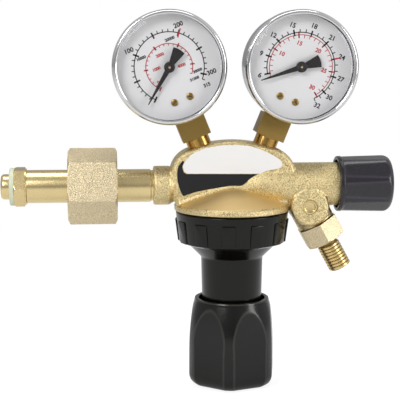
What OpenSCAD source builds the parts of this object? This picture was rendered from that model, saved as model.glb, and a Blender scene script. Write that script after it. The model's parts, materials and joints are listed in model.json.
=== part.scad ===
// Single-stage gas cylinder regulator with inlet union, two dial gauges, adjusting knob and outlet valve.
// Origin at the centre of the inlet seal face. +X runs from the inlet to the outlet valve,
// -Y is the front with the dials, +Z is up. Millimetres.

/* [Layout] */
// Distance from the inlet seal face to the upright axis of the regulator
body_x = 120; // [112:1:135]
// Radial gap between screwed or pressed pieces of one assembly
fit_gap = 0.05; // [0.02:0.01:0.1]
// Radial gap between a shaft and its bore
shaft_gap = 0.1; // [0.05:0.01:0.2]
// Gap between faces that move past each other
run_gap = 0.3; // [0.2:0.05:0.5]

/* [Inlet nipple] */
// Diameter of the spigot in front of the seal
spigot_d = 13.6; // [12:0.1:15]
// Length of the spigot in front of the seal face
spigot_len = 4.6; // [3:0.1:6]
// Rounding of the spigot's tip
spigot_round = 2; // [1:0.1:3]
// Gas bore through nipple and spigot
inlet_bore_d = 6; // [4:0.2:7]
// Outside diameter of the seal ring
seal_d = 20.4; // [18:0.2:22]
// Thickness of the seal ring
seal_t = 2.7; // [2:0.1:3.5]
// Depth of the seal's face behind the root of the spigot
seal_sink = 0.1; // [0.05:0.05:0.3]
// Depth of the spigot's groove under the seal
seal_groove = 0.4; // [0.2:0.1:0.8]
// Distance across flats of the nipple's hexagon
collar_af = 19.6; // [18.5:0.1:20.5]
// Length of the nipple's hexagon
collar_len = 5.6; // [4:0.1:8]
// Length of the round shoulder behind the hexagon
shoulder_len = 0.8; // [0.5:0.1:1.5]
// Chamfer at the hexagon's front corners
collar_chamfer = 1; // [0.5:0.1:1.5]
// Turn of the nipple's hexagon about the inlet axis
collar_turn = 3; // [0:1:30]

/* [Inlet stem] */
// Outside diameter of the tube between nipple and body
tube_d = 17.8; // [16:0.1:18.5]
// Bore of the tube
tube_bore_d = 8; // [7.5:0.1:9]
// Distance from the seal face to the body's inlet boss
boss_face_x = 77; // [72:0.5:80]
// Diameter of the nipple's thread in the tube
nipple_thread_d = 12; // [10:0.5:13]
// Length of the nipple's thread in the tube
nipple_thread_len = 9; // [6:0.5:12]
// Diameter of the tube's thread in the body
stem_thread_d = 14; // [12:0.5:15]
// Length of the tube's thread in the body
stem_thread_len = 10; // [8:0.5:12]
// Length of the sintered filter in the tube
filter_len = 14; // [8:0.5:20]
// Wall of the sintered filter cup
filter_wall = 1.2; // [0.8:0.1:1.6]

/* [Union nut] */
// Distance across flats of the union nut
nut_af = 36; // [34:0.5:40]
// Length of the union nut
nut_len = 26.4; // [22:0.2:32]
// Distance from the seal face to the nut's back face, nut slid back
nut_back_x = 57.6; // [52:0.2:62]
// Radius of the nut's tapped bore at its thread crests
nut_bore_r = 12.06; // [11.9:0.02:13]
// Thickness of the nut's floor that passes over the tube
nut_floor = 6; // [4:0.5:8]
// Chamfer at the nut's corners
nut_chamfer = 2.2; // [1:0.1:3]
// Turn of the nut's hexagon about the inlet axis
nut_turn = 16.4; // [0:0.1:60]
// Chamfer at the mouth of the nut's bore
nut_mouth = 1.5; // [0.8:0.1:2]
// Thickness of the thrust ring inside the nut
thrust_t = 1.5; // [1:0.1:2.5]

/* [Body] */
// Half width of the domed body
dome_half_w = 34; // [33:0.5:36]
// Height of the dome's top above the inlet axis
dome_top = 24.2; // [23:0.1:26]
// Radius of the dome's wide top arc
dome_r = 69.6; // [60:0.2:80]
// Radius of the dome's corners
corner_r = 15; // [9:0.5:18]
// Distance from the upright axis to the front and back faces
face_y = 9; // [8.8:0.1:11]
// Bevel round the front and back faces
face_bevel = 1.6; // [1:0.1:2.5]
// Radius of the round base flange
flange_r = 31.5; // [30.5:0.1:33]
// Height of the base flange's rim
flange_h = 3.5; // [3:0.1:6]
// Height of the base flange's underside, below the inlet axis
flange_z = -13.35; // [-17:0.05:-13]
// Rise of the conical shoulder above the flange
shoulder_h = 9.8; // [8:0.1:11]
// Radius at the top of the conical shoulder
shoulder_r = 6; // [4:0.5:8]
// Chamfer on the flange's top edge
flange_chamfer = 0.9; // [0.4:0.1:1.5]
// Radius of the inlet boss
boss_r = 10.6; // [10:0.1:11]
// Radius of the outlet arm
arm_r = 11.8; // [11:0.1:12.5]
// Distance from the inlet seal face to the end of the outlet arm
arm_end_x = 179; // [174:0.5:184]
// Distance from the upright axis to where the arm's nose leaves the front face
arm_nose_x = 4; // [2:0.5:8]
// Length over which the arm's nose swells to the full radius
arm_nose_len = 16; // [14:0.5:26]
// Depth at which the arm's nose starts behind the front face
arm_nose_sink = 0.6; // [0.3:0.1:1.5]
// Depth to which the inlet boss reaches into the domed block
boss_reach = 4; // [3:0.5:8]
// Radius of the male thread under the flange that carries the bonnet
skirt_r = 27.2; // [26.5:0.1:28]
// Length of that thread under the flange
skirt_len = 7.4; // [6:0.1:9]
// Radius of the low-pressure chamber above the diaphragm
chamber_r = 21; // [19:0.5:22]
// Roof of the low-pressure chamber above the flange's underside
chamber_rise = 0.6; // [0.2:0.1:2]

/* [Diaphragm and seat] */
// Thickness of the rubber diaphragm
diaphragm_t = 1.6; // [1:0.1:2]
// Thickness of the slip ring between bonnet and diaphragm
slip_ring_t = 1.2; // [0.8:0.1:2]
// Radius of the diaphragm plate
plate_r = 15.6; // [13:0.1:17]
// Thickness of the diaphragm plate
plate_t = 2.4; // [2:0.1:3.5]
// Radius of the seat nozzle's thread
nozzle_r = 6; // [5:0.1:7]
// Height of the seat nozzle
nozzle_h = 10; // [9:0.5:13]
// Radius of the nozzle's throat
throat_r = 1.6; // [1.3:0.1:2]
// Thickness of the disc on top of the diaphragm
backing_t = 0.8; // [0.5:0.1:1.2]
// Radius of the push pin
pin_r = 0.9; // [0.7:0.05:1.1]
// Radius of the valve poppet
poppet_r = 3.4; // [2.8:0.1:3.8]
// Height of the valve poppet
poppet_h = 6; // [4:0.5:8]
// Length of the poppet's spring
poppet_spring_len = 7; // [5:0.5:8]

/* [Bonnet] */
// Gap between flange and bonnet
bonnet_gap = 0.6; // [0.4:0.1:1]
// Outside radius of the bonnet's ring at its top
ring_top_r = 31.1; // [30.5:0.1:32]
// Outside radius of the bonnet's ring at its bottom
ring_low_r = 28.9; // [28.5:0.1:31]
// Height of the bonnet's ring
ring_h = 16.65; // [12.5:0.05:18]
// Height of the chamfer below the ring
ring_chamfer_h = 1.8; // [1:0.1:3]
// Radius at the foot of that chamfer
cone_top_r = 23.8; // [23:0.1:27]
// Height of the cone below the ring
cone_h = 6.9; // [6:0.1:12]
// Radius of the bonnet's neck at its top
neck_top_r = 16.9; // [16.5:0.1:17.4]
// Radius of the bonnet's neck at its bottom
neck_low_r = 16.3; // [16:0.1:17]
// Length of the bonnet's neck
neck_len = 26.8; // [22:0.1:28]
// Number of grip pads round the ring
pad_count = 12; // [6:1:16]
// Width of one grip pad
pad_w = 7.6; // [5:0.1:9]
// Height of one grip pad
pad_h = 12.1; // [9:0.1:13]
// Height of a grip pad above the ring
pad_rise = 0.6; // [0.4:0.1:1.2]
// Turn of bonnet and adjusting knob about the upright axis
grip_turn = -9.2; // [-30:0.1:30]
// Radius of the spring's bore in the neck
spring_bore_r = 13.2; // [12.6:0.1:13.6]
// Thickness of the neck's tapped end wall
end_wall = 4.5; // [3:0.5:6]

/* [Adjuster] */
// Radius of the adjusting spindle's thread
spindle_r = 5; // [4:0.1:6]
// Thread pitch of the adjusting spindle
spindle_pitch = 1.75; // [1:0.05:2]
// Turns of the adjusting spindle from slack to its stop
spindle_turns = 5; // [3:0.5:5]
// Wire diameter of the main spring
main_wire_d = 3; // [2.4:0.1:3.2]
// Radius of the spigots that centre the main spring
spring_spigot_r = 9.2; // [7:0.1:9.4]
// Number of coils of the main spring
main_coils = 5.5; // [4:0.5:6]
// Thickness of the lower spring button
button_t = 3.4; // [3:0.1:4.5]
// Length of the spindle's tip inside the spring button
spindle_tip = 1.4; // [1:0.1:2]
// Rim radius of the adjusting knob
knob_rim_r = 20.3; // [20:0.1:21]
// Rim wall of the adjusting knob
knob_rim_wall = 2.2; // [1.8:0.1:2.4]
// Largest radius of the adjusting knob
knob_r = 24.75; // [23:0.05:26]
// Height of the adjusting knob
knob_h = 48.2; // [44:0.2:54]
// Height over which the knob widens from its rim
knob_flare_h = 24; // [18:0.5:28]
// Depth of the neck inside the knob's rim, spring slack
knob_overlap = 3.8; // [3:0.1:5]
// Rounding of the knob's lower edge
knob_round = 7; // [5:0.5:9]
// Number of grip facets on the adjusting knob
facet_count = 6; // [5:1:8]
// Distance of a facet from the axis at the knob's rim
facet_top = 20.3; // [20:0.1:21.5]
// Distance of a facet from the axis at the knob's bottom
facet_low = 22.6; // [22:0.1:24]
// Distance across flats of the spindle's end in the knob
spindle_af = 8; // [6:0.5:9]
// Length of the spindle's hexagon in the knob
spindle_socket = 14; // [10:0.5:18]

/* [Outlet valve] */
// Radius of the valve chamber in the arm
valve_bore_r = 6; // [5.5:0.1:7]
// Radius of the gas passage to the valve
passage_r = 2.2; // [1.5:0.1:2.6]
// Distance from the upright axis to the valve seat
valve_seat_x = 31; // [29:0.5:32]
// Radius of the gland's thread in the arm
gland_r = 8; // [7.5:0.1:9]
// Length of the gland inside the arm
gland_len = 12; // [10:0.5:13]
// Length of the gland's collar in front of the arm
gland_collar = 3; // [2:0.5:5]
// Radius of the valve spindle
stem_r = 3; // [2.5:0.1:3.5]
// Depth of the gland's pocket for the spindle's ring
ring_pocket = 3; // [2:0.5:4]
// Radius of the valve seat disc
disc_r = 4.4; // [3.5:0.1:5]
// Thickness of the valve seat disc
disc_t = 4; // [3:0.5:5]
// Radius of the valve knob
valve_knob_r = 15.6; // [14:0.1:16.5]
// Narrowing of the valve knob towards its open end
valve_knob_taper = 0.4; // [0:0.1:1]
// Length of the valve knob
valve_knob_len = 30.4; // [27:0.2:35]
// Length of the smooth lip at the valve knob's open end
valve_lip = 2.2; // [1.6:0.1:3]
// Length of the valve spindle inside the knob's socket
valve_socket = 12; // [8:0.5:14]
// Depth of the valve spindle's tip inside the seat disc
disc_tip = 1.5; // [1:0.1:2.5]
// Overlap of the valve knob's skirt over the arm
valve_skirt = 1.6; // [1:0.1:3]
// Wall of the valve knob's skirt
valve_knob_wall = 2.4; // [1.8:0.1:2.5]
// Depth of the valve knob's hollow
valve_knob_depth = 10; // [8:0.5:14]
// Rounding of the valve knob's end
valve_knob_round = 4.2; // [3:0.1:7]
// Rise of the valve knob's end towards its middle
valve_knob_dome = 1; // [0.5:0.1:2]
// Number of soft facets round the valve knob
valve_facets = 8; // [6:1:10]
// Depth of a facet in the middle
valve_facet_cut = 0.7; // [0.3:0.1:1]
// Turn of the valve knob's facets
valve_turn = 13.5; // [0:0.5:45]

/* [Outlet] */
// Distance from the upright axis to where the outlet axis leaves the arm's axis
outlet_x = 35; // [34:0.5:37]
// Lean of the outlet axis from straight down
outlet_tilt = 28.8; // [26:0.1:31]
// Distance along the outlet axis to the middle of the round knuckle
knuckle_s = 12.8; // [12:0.1:13.5]
// Radius of the knuckle and the outlet boss
knuckle_r = 10.4; // [10:0.1:11]
// Distance from the upright plane to the knuckle's front face
knuckle_y = 12.4; // [12:0.1:13.5]
// Distance along the outlet axis to the boss face
outlet_face_s = 24; // [23.5:0.1:26]
// Distance across flats of the outlet connector
outlet_af = 21; // [19:0.5:22]
// Length of the outlet connector's hexagon
outlet_hex_len = 13.6; // [10:0.2:16]
// Chamfer of the outlet hexagon's lower corners
outlet_chamfer = 2; // [1:0.1:2.5]
// Radius of the outlet's threaded end
outlet_r = 6.58; // [6:0.01:7]
// Length of the outlet's thread
outlet_thread_len = 12.5; // [10:0.5:14]
// Length of the undercut above the thread
outlet_neck_len = 2.8; // [2:0.1:4]
// Depth of the undercut
outlet_neck_cut = 0.8; // [0.5:0.1:1.2]
// Radius of the outlet's bore
outlet_bore_r = 2.8; // [2:0.1:3.2]
// Radius of the connector's thread in the boss
outlet_root_r = 6; // [5.5:0.1:6.5]
// Length of the connector's thread in the boss
outlet_root_len = 8; // [7:0.5:9]
// Thickness of the outlet's sealing washer
washer_t = 1; // [0.6:0.1:1.5]
// Radius of the passage plug on the knuckle
plug_r = 4; // [3.5:0.1:4.5]
// Length of the passage plug
plug_len = 5; // [4:0.5:6]
// Radius of the recess in the plug's front
plug_recess_r = 3.1; // [2.6:0.1:3.4]
// Depth of that recess
plug_recess = 2; // [1:0.1:3]
// Depth of the plug's front below the knuckle's front face
plug_sink = 0.3; // [0.1:0.1:1]

/* [Relief valve] */
// Height of the relief valve above the inlet axis
relief_z = 7; // [6:0.5:9]
// Radius of the relief valve's thread in the body
relief_r = 5; // [4.5:0.1:6]
// Length of the relief valve's thread in the body
relief_root = 4; // [3:0.5:4.5]
// Distance across flats of the relief valve
relief_af = 14; // [13:0.5:15]
// Length of the relief valve's hexagon
relief_hex_len = 4; // [3:0.5:5]
// Length of the relief valve's sleeve
relief_sleeve = 8; // [6:0.5:10]
// Wall of the relief valve's sleeve
relief_wall = 1.4; // [1:0.1:1.8]
// Lift of the relief valve's poppet
relief_lift = 0.8; // [0.5:0.1:1.2]
// Radius of the duct from the low-pressure chamber to the relief valve
relief_duct_r = 0.9; // [0.7:0.1:1]
// Wall between that duct and the seat nozzle's thread
relief_duct_wall = 0.7; // [0.6:0.1:1]
// Thickness of the cap that holds the relief valve's spring
relief_cap_t = 2.6; // [2.2:0.1:3.2]
// Sunk depth of that cap below the sleeve's end
relief_cap_sink = 0.4; // [0.2:0.1:1]

/* [Gauges] */
// Lean of each gauge from upright
gauge_tilt = 22; // [20:0.5:24]
// Height at which both gauge axes meet, below the inlet axis
gauge_pivot_z = -22; // [-23:0.5:-21]
// Distance from that point to a gauge's centre
gauge_reach = 92.9; // [91:0.1:96]
// Radius of the gauge bezel
bezel_r = 30.1; // [29.5:0.1:31.5]
// Thickness of the bezel's wall round the case
bezel_wall = 1.1; // [0.8:0.1:1.6]
// Width of the bezel's front lip
bezel_lip = 3; // [2.4:0.1:3.6]
// Distance from the stem's plane to the bezel's front
bezel_front = 21; // [19:0.5:23]
// Depth of the bezel ring
bezel_depth = 9; // [7:0.5:11]
// Rounding of the case's back edge
case_round = 3; // [2:0.5:4]
// Wall of the gauge case
case_wall = 0.9; // [0.6:0.1:1.2]
// Distance from the stem's plane to the back of the case
case_back = 9; // [8.6:0.2:12]
// Thickness of the window
window_t = 1.6; // [1.2:0.1:2]
// Rise of the window's middle through the bezel
window_rise = 0.9; // [0.5:0.1:1.2]
// Gap between the dial's edge and the case's outside
dial_inset = 1.3; // [1.2:0.1:2]
// Thickness of the dial
dial_t = 0.6; // [0.4:0.1:1]
// Distance from the stem's plane to the dial's face
dial_front = 14.6; // [13.5:0.1:15.5]
// Width of the square stem block
stem_block = 15.8; // [14:0.2:16.6]
// Distance from the gauge's centre to the bottom of the stem block
block_low = 40.9; // [40:0.1:42]
// Distance from the case's outside to the movement's foot on the stem
foot_depth = 5.3; // [5:0.1:6]
// Radius of the stem's round neck
gauge_neck_r = 6.4; // [6:0.1:6.6]
// Length of the stem's neck and thread below the block
gauge_neck_len = 12.5; // [11:0.5:14]
// Distance from the case's outside to the middle of the pressure tube
coil_inset = 9.3; // [8.5:0.1:10]
// Width of the pressure tube's flat section
coil_w = 6; // [5:0.5:7]
// Thickness of the pressure tube's flat section
coil_t = 2; // [1.6:0.1:2.6]
// Sweep of the pressure tube
coil_sweep = 262; // [250:1:266]
// Length of the pointer from its hub
pointer_len = 22.6; // [20:0.2:24]
// Length of the pointer's fan-shaped tail
pointer_tail = 10.6; // [8:0.2:12]
// Width of the tail's end
tail_w = 6.8; // [5:0.2:8]
// Radius of the pointer's hub
hub_r = 2.9; // [2.4:0.1:3.4]
// Turn of the left pointer from the stem at rest
high_rest = 51.7; // [45:0.1:60]
// Turn of the right pointer from the stem at rest
low_rest = 50.1; // [45:0.1:60]
// Pitch radius of the sector
sector_pitch_r = 10; // [9:0.1:11]
// Ratio of sector to pinion
gear_ratio = 10; // [9:0.5:12]
// Radius of the movement's arbors
arbor_r = 0.6; // [0.5:0.05:0.8]
// Distance of each dial screw from the dial's upright axis
dial_screw_x = 4.4; // [3.5:0.1:6]
// Distance of the dial screws below the dial's centre
dial_screw_z = 18.3; // [17:0.1:19.5]

/* [Hidden] */
$fn = 72;
hull_fn = 48;
cut = 0.01;
far = 200;
high = -1;
low = 1;
brass = [0.78, 0.66, 0.38];
bright_brass = [0.86, 0.76, 0.48];
steel = [0.62, 0.63, 0.65];
black = [0.1, 0.1, 0.1];

// Outline of the domed body
corner_x = dome_half_w - corner_r;
dome_centre_z = dome_top - dome_r;
corner_z = dome_centre_z + sqrt(pow(dome_r - corner_r, 2) - pow(corner_x, 2));
corner_angle = atan2(corner_x, corner_z - dome_centre_z);
flange_top_z = flange_z + flange_h;
shoulder_top_z = flange_top_z + shoulder_h;
base_half_w = flange_r - flange_chamfer;
skirt_z = flange_z - skirt_len;
side_rise = [corner_x - base_half_w, corner_z - flange_top_z];
side_lean = atan2(side_rise[0], side_rise[1]) + asin(corner_r / norm(side_rise));

// Inlet side
collar_x = seal_t;
shoulder_x = collar_x + collar_len;
tube_x = shoulder_x + shoulder_len;
filter_x = tube_x + nipple_thread_len;
nut_front_x = nut_back_x - nut_len;
nut_seat_x = nut_back_x - nut_floor;

// Stack below the body
slip_z = skirt_z - diaphragm_t;
ledge_z = slip_z - slip_ring_t;
plate_z = slip_z - plate_t;
bonnet_z = flange_z - bonnet_gap;
ring_low_z = bonnet_z - ring_h;
cone_top_z = ring_low_z - ring_chamfer_h;
cone_low_z = cone_top_z - cone_h;
neck_z = cone_low_z - neck_len;
wall_z = neck_z + end_wall;
spindle_travel = spindle_pitch * spindle_turns;
button_low_z = wall_z + run_gap;
button_top_z = button_low_z + button_t;
knob_z = neck_z + knob_overlap;
knob_low_z = knob_z - knob_h;
hollow_z = neck_z - spindle_travel - run_gap - 1;

// Seat above the diaphragm
nozzle_z = flange_z + chamber_rise;
nozzle_top_z = nozzle_z + nozzle_h;
poppet_z = nozzle_top_z + shaft_gap;
poppet_top_z = poppet_z + poppet_h;
poppet_bore_r = poppet_r + run_gap;

// Gas ports under the gauges
port_r = 1.5;
socket_reach = gauge_reach - block_low - gauge_neck_len;
high_port_reach = gauge_reach + gauge_pivot_z / cos(gauge_tilt);
low_port_x = socket_reach * sin(gauge_tilt);
low_port_z = gauge_pivot_z + socket_reach * cos(gauge_tilt) + 1;

// Outlet valve
seat_x = body_x + valve_seat_x;
disc_x = seat_x + shaft_gap;
stem_x = disc_x + disc_t;
gland_x = arm_end_x - gland_len;
valve_knob_x = arm_end_x - valve_skirt;
valve_hollow_x = valve_knob_x + valve_knob_depth;

// Relief valve, measured from the body's back face
sleeve_r = relief_af / 2 - 1;
sleeve_bore_r = sleeve_r - relief_wall;
sleeve_end = relief_hex_len + relief_sleeve;
relief_disc_t = 2;
relief_coil_r = 2.9;
pocket_depth = relief_lift + 0.5;
pocket_floor = sleeve_end - relief_cap_sink - relief_cap_t + pocket_depth;

// Gauge layout, measured in the gauge's own frame with its front towards -Y
case_r = bezel_r - bezel_wall;
sight_r = bezel_r - bezel_lip;
dial_r = case_r - dial_inset;
block_top = case_r - foot_depth;
coil_r = case_r - coil_inset;
window_front = bezel_front - 1;
window_back = window_front - window_t;
dial_back = dial_front - dial_t;
hub_front = window_back - run_gap;
plate_front = dial_back - 1.2;
plate_thick = 0.8;
rear_plate = 5.4;
case_front = window_back;
sector_z = -(sector_pitch_r + sector_pitch_r / gear_ratio);
sector_y = rear_plate + 2.6;
sector_t = 1.2;
link_t = 0.6;
tail_len = 7.5;
tail_angle = -15;
gauge_swing = 264;
seat_w = 12;
coil_root = 250;
coil_tip = coil_root - coil_sweep;
root_sweep = 12;

// Places what follows along the inlet axis, with its own Z along +X
module along_x(x) {
    translate([x, 0, 0]) rotate([0, 90, 0]) children();
}

// Places what follows on the outlet axis, with its own Z away from the arm
module along_outlet(s) {
    translate([body_x + outlet_x, 0, 0]) rotate([0, 180 - outlet_tilt, 0]) translate([0, 0, s]) children();
}

// Places what follows on the relief valve's axis, with its own Z towards the back
module along_relief(y) {
    translate([body_x, y, relief_z]) rotate([-90, 0, 0]) children();
}

// Places what follows in the frame of one gauge, dial centre at the origin
module at_gauge(side) {
    translate([body_x, 0, gauge_pivot_z]) rotate([0, side * gauge_tilt, 0]) translate([0, 0, gauge_reach])
        children();
}

// Places what follows on the gauge's dial axis, with its own Z towards the front
module to_front(depth) {
    translate([0, -depth, 0]) rotate([90, 0, 0]) children();
}

// Round ring or tube
module tube(outer, inner, length) {
    difference() {
        cylinder(r = outer, h = length);
        translate([0, 0, -1]) cylinder(r = inner, h = length + 2);
    }
}

// Hexagonal bar by its distance across flats
module hex_bar(af, length) {
    cylinder(r = af / 2 / cos(30), h = length, $fn = 6);
}

// Cone frustum that trims the corners of a hexagon at its lower end
module corner_trim(af, trim, length) {
    corner = af / 2 / cos(30);
    outer = corner + cut;
    rotate_extrude()
        polygon([[0, 0], [corner - trim, 0], [outer, trim * 0.5 + cut], [outer, length], [0, length]]);
}

// Coil spring round Z as a swept tube
module coil_spring(mean_r, wire_r, coils, length, steps, sides) {
    count = round(coils * steps);
    rise = length - 2 * wire_r;
    points = [for (i = [0:count]) for (j = [0:sides - 1])
        let (turn = 360 * coils * i / count, side = 360 * j / sides, r = mean_r + wire_r * cos(side))
        [r * cos(turn), r * sin(turn), wire_r + rise * i / count + wire_r * sin(side)]];
    walls = [for (i = [0:count - 1]) for (j = [0:sides - 1])
        let (a = i * sides + j, b = i * sides + (j + 1) % sides)
        each [[a, a + sides, b], [b, a + sides, b + sides]]];
    start = [[for (j = [0:sides - 1]) j]];
    end = [[for (j = [sides - 1:-1:0]) count * sides + j]];
    polyhedron(points = points, faces = concat(walls, start, end), convexity = 10);
}

// Points along an arc, from one angle to another
function arc(centre, r, from, to, count) =
    [for (i = [0:count]) let (a = from + (to - from) * i / count) centre + r * [cos(a), sin(a)]];

// Right-hand half of the dome's outline in X and Z, smaller all round by inset
function half_outline(inset) = concat(
    [[base_half_w - inset / cos(side_lean), flange_top_z]],
    arc([corner_x, corner_z], corner_r - inset, -side_lean, 90 - corner_angle, 8),
    [for (i = [1:8]) arc([0, dome_centre_z], dome_r - inset, 90 - corner_angle, 90, 8)[i]]);

// Slab with the dome's outline, as deep to the front as to the back
module dome_slab(inset, half_depth) {
    right = half_outline(inset);
    left = [for (i = [len(right) - 2:-1:0]) [-right[i][0], right[i][1]]];
    translate([body_x, half_depth, 0]) rotate([90, 0, 0])
        linear_extrude(2 * half_depth) polygon(concat(right, left));
}

// Upright domed block of the body with bevelled front and back
module dome_block() {
    hull() {
        dome_slab(face_bevel, face_y);
        dome_slab(0, face_y - face_bevel);
    }
}

// Round base: flange, conical shoulder and the male thread for the bonnet
module base_turning() {
    translate([body_x, 0, 0]) rotate_extrude()
        polygon([[0, skirt_z], [skirt_r, skirt_z], [skirt_r, flange_z], [flange_r, flange_z],
                 [flange_r, flange_top_z - flange_chamfer], [flange_r - flange_chamfer, flange_top_z],
                 [shoulder_r, shoulder_top_z], [0, shoulder_top_z]]);
}

// Outlet arm with a nose that swells out of the front face
module outlet_arm() {
    nose_x = body_x + arm_nose_x;
    full_x = nose_x + arm_nose_len;
    nose_r = face_y - arm_nose_sink;
    swell = [for (i = [0:12]) let (t = i / 12) [nose_r + (arm_r - nose_r) * sin(90 * t), arm_nose_len * t]];
    along_x(nose_x) rotate_extrude() polygon(concat([[0, 0]], swell,
        [[arm_r, arm_end_x - nose_x - 1], [arm_r - 1, arm_end_x - nose_x], [0, arm_end_x - nose_x]]));
}

// Round knuckle and the boss that carries the outlet connector
module outlet_boss() {
    along_outlet(knuckle_s) cylinder(r = knuckle_r, h = outlet_face_s - knuckle_s);
    along_outlet(knuckle_s) rotate([90, 0, 0]) translate([0, 0, -knuckle_r])
        cylinder(r = knuckle_r, h = knuckle_r + knuckle_y - 1);
    along_outlet(knuckle_s) rotate([90, 0, 0]) translate([0, 0, knuckle_y - 1])
        cylinder(r1 = knuckle_r, r2 = knuckle_r - 1, h = 1);
}

// Gas ways and sockets inside the body
module body_ways() {
    along_x(boss_face_x - 1) cylinder(r = stem_thread_d / 2 + fit_gap, h = stem_thread_len + 1);
    along_x(boss_face_x) cylinder(r = inlet_bore_d / 2, h = body_x - boss_face_x);
    translate([body_x, 0, skirt_z - 1]) cylinder(r = chamber_r, h = skirt_len + chamber_rise + 1);
    translate([body_x, 0, nozzle_z - 1]) cylinder(r = nozzle_r + fit_gap, h = nozzle_h + 1);
    translate([body_x, 0, nozzle_z])
        cylinder(r = poppet_bore_r, h = nozzle_h + poppet_h + poppet_spring_len + shaft_gap);
    for (side = [high, low]) at_gauge(side) translate([0, 0, -block_low - gauge_neck_len])
        cylinder(r = gauge_neck_r + fit_gap, h = gauge_neck_len);
    at_gauge(high) translate([0, 0, -high_port_reach])
        cylinder(r = port_r, h = high_port_reach - block_low - 1);
    translate([body_x + low_port_x, 0, flange_z]) cylinder(r = port_r, h = low_port_z - flange_z);
    along_x(body_x + low_port_x) cylinder(r = passage_r, h = valve_seat_x - low_port_x + 1);
    translate([body_x, nozzle_r + relief_duct_wall + relief_duct_r, flange_z])
        cylinder(r = relief_duct_r, h = relief_z - flange_z);
    along_x(seat_x) cylinder(r = valve_bore_r, h = arm_end_x - seat_x + 1);
    along_x(gland_x) cylinder(r = gland_r + fit_gap, h = gland_len + 1);
    along_outlet(0) cylinder(r = outlet_bore_r, h = outlet_face_s + 1);
    along_outlet(outlet_face_s - outlet_root_len - 0.5)
        cylinder(r = outlet_root_r + fit_gap, h = outlet_root_len + 2);
    along_outlet(knuckle_s) rotate([90, 0, 0]) translate([0, 0, knuckle_y - plug_len])
        cylinder(r = plug_r + fit_gap, h = plug_len + 1);
    along_relief(face_y - relief_root) cylinder(r = relief_r + fit_gap, h = relief_root + 1);
    along_outlet(knuckle_s) rotate([90, 0, 0]) cylinder(r = port_r, h = knuckle_y);
}

// Round boss on the dome's side that takes the inlet stem
module inlet_boss() {
    length = body_x - dome_half_w + boss_reach - boss_face_x;
    along_x(boss_face_x) cylinder(r = boss_r, h = length);
    along_x(boss_face_x + length - cut) cylinder(r1 = boss_r, r2 = face_y - face_bevel, h = boss_reach);
}

// Forged and turned body
module body() {
    color(brass) difference() {
        union() {
            dome_block();
            base_turning();
            inlet_boss();
            outlet_arm();
            outlet_boss();
        }
        body_ways();
    }
}

// Nipple that carries the seal and screws into the tube
module inlet_nipple() {
    r = spigot_d / 2;
    color(bright_brass) difference() {
        union() {
            along_x(-spigot_len) rotate_extrude() {
                polygon([[0, 0], [r - spigot_round, 0], [r - spigot_round, spigot_round], [r, spigot_round],
                         [r, spigot_len], [r - seal_groove, spigot_len],
                         [r - seal_groove, spigot_len + collar_x], [0, spigot_len + collar_x]]);
                intersection() {
                    translate([r - spigot_round, spigot_round]) circle(r = spigot_round);
                    square([r, spigot_round]);
                }
            }
            intersection() {
                along_x(collar_x) rotate([0, 0, 30 + collar_turn]) hex_bar(collar_af, collar_len);
                along_x(collar_x) corner_trim(collar_af, collar_chamfer, collar_len);
            }
            along_x(shoulder_x - cut) cylinder(r = collar_af / 2, h = shoulder_len + cut);
            along_x(tube_x - cut) cylinder(r = nipple_thread_d / 2, h = nipple_thread_len - 1 + cut);
        }
        along_x(-spigot_len - 1)
            cylinder(r = inlet_bore_d / 2, h = spigot_len + tube_x + nipple_thread_len + 2);
    }
}

// Plastic ring that seals against the cylinder valve
module inlet_seal() {
    color([0.82, 0.85, 0.74]) along_x(seal_sink)
        tube(seal_d / 2, spigot_d / 2 - seal_groove + fit_gap, seal_t - seal_sink);
}

// Tube between nipple and body, over which the union nut slides
module inlet_stem() {
    color(bright_brass) difference() {
        union() {
            along_x(tube_x) cylinder(r = tube_d / 2, h = boss_face_x - tube_x);
            along_x(boss_face_x - cut) cylinder(r = stem_thread_d / 2, h = stem_thread_len - 0.5 + cut);
        }
        along_x(tube_x - 1) cylinder(r = nipple_thread_d / 2 + fit_gap, h = nipple_thread_len + 1);
        along_x(tube_x) cylinder(r = tube_bore_d / 2, h = boss_face_x - tube_x + stem_thread_len + 1);
    }
}

// Sintered bronze filter cup in the tube's bore
module inlet_filter() {
    r = tube_bore_d / 2 - shaft_gap;
    color([0.6, 0.45, 0.25]) along_x(filter_x) difference() {
        cylinder(r = r, h = filter_len);
        translate([0, 0, -1]) cylinder(r = r - filter_wall, h = filter_len - filter_wall + 1);
    }
}

// Union nut that clamps the regulator to the cylinder valve
module union_nut() {
    color(brass) difference() {
        intersection() {
            along_x(nut_front_x) rotate([0, 0, 30 + nut_turn]) hex_bar(nut_af, nut_len);
            along_x(nut_front_x) corner_trim(nut_af, nut_chamfer, nut_len);
            along_x(nut_back_x) mirror([0, 0, 1]) corner_trim(nut_af, nut_chamfer, nut_len);
        }
        along_x(nut_front_x - 1) cylinder(r = nut_bore_r, h = nut_len - nut_floor + 1);
        along_x(nut_front_x) cylinder(r = tube_d / 2 + run_gap, h = nut_len + 1);
        along_x(nut_front_x - cut) cylinder(r1 = nut_bore_r + nut_mouth, r2 = nut_bore_r, h = nut_mouth);
    }
}

// Thrust ring on which the nut turns
module nut_thrust_ring() {
    color(steel) along_x(nut_seat_x - thrust_t - shaft_gap)
        tube(nut_bore_r - run_gap, tube_d / 2 + shaft_gap, thrust_t);
}

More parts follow.
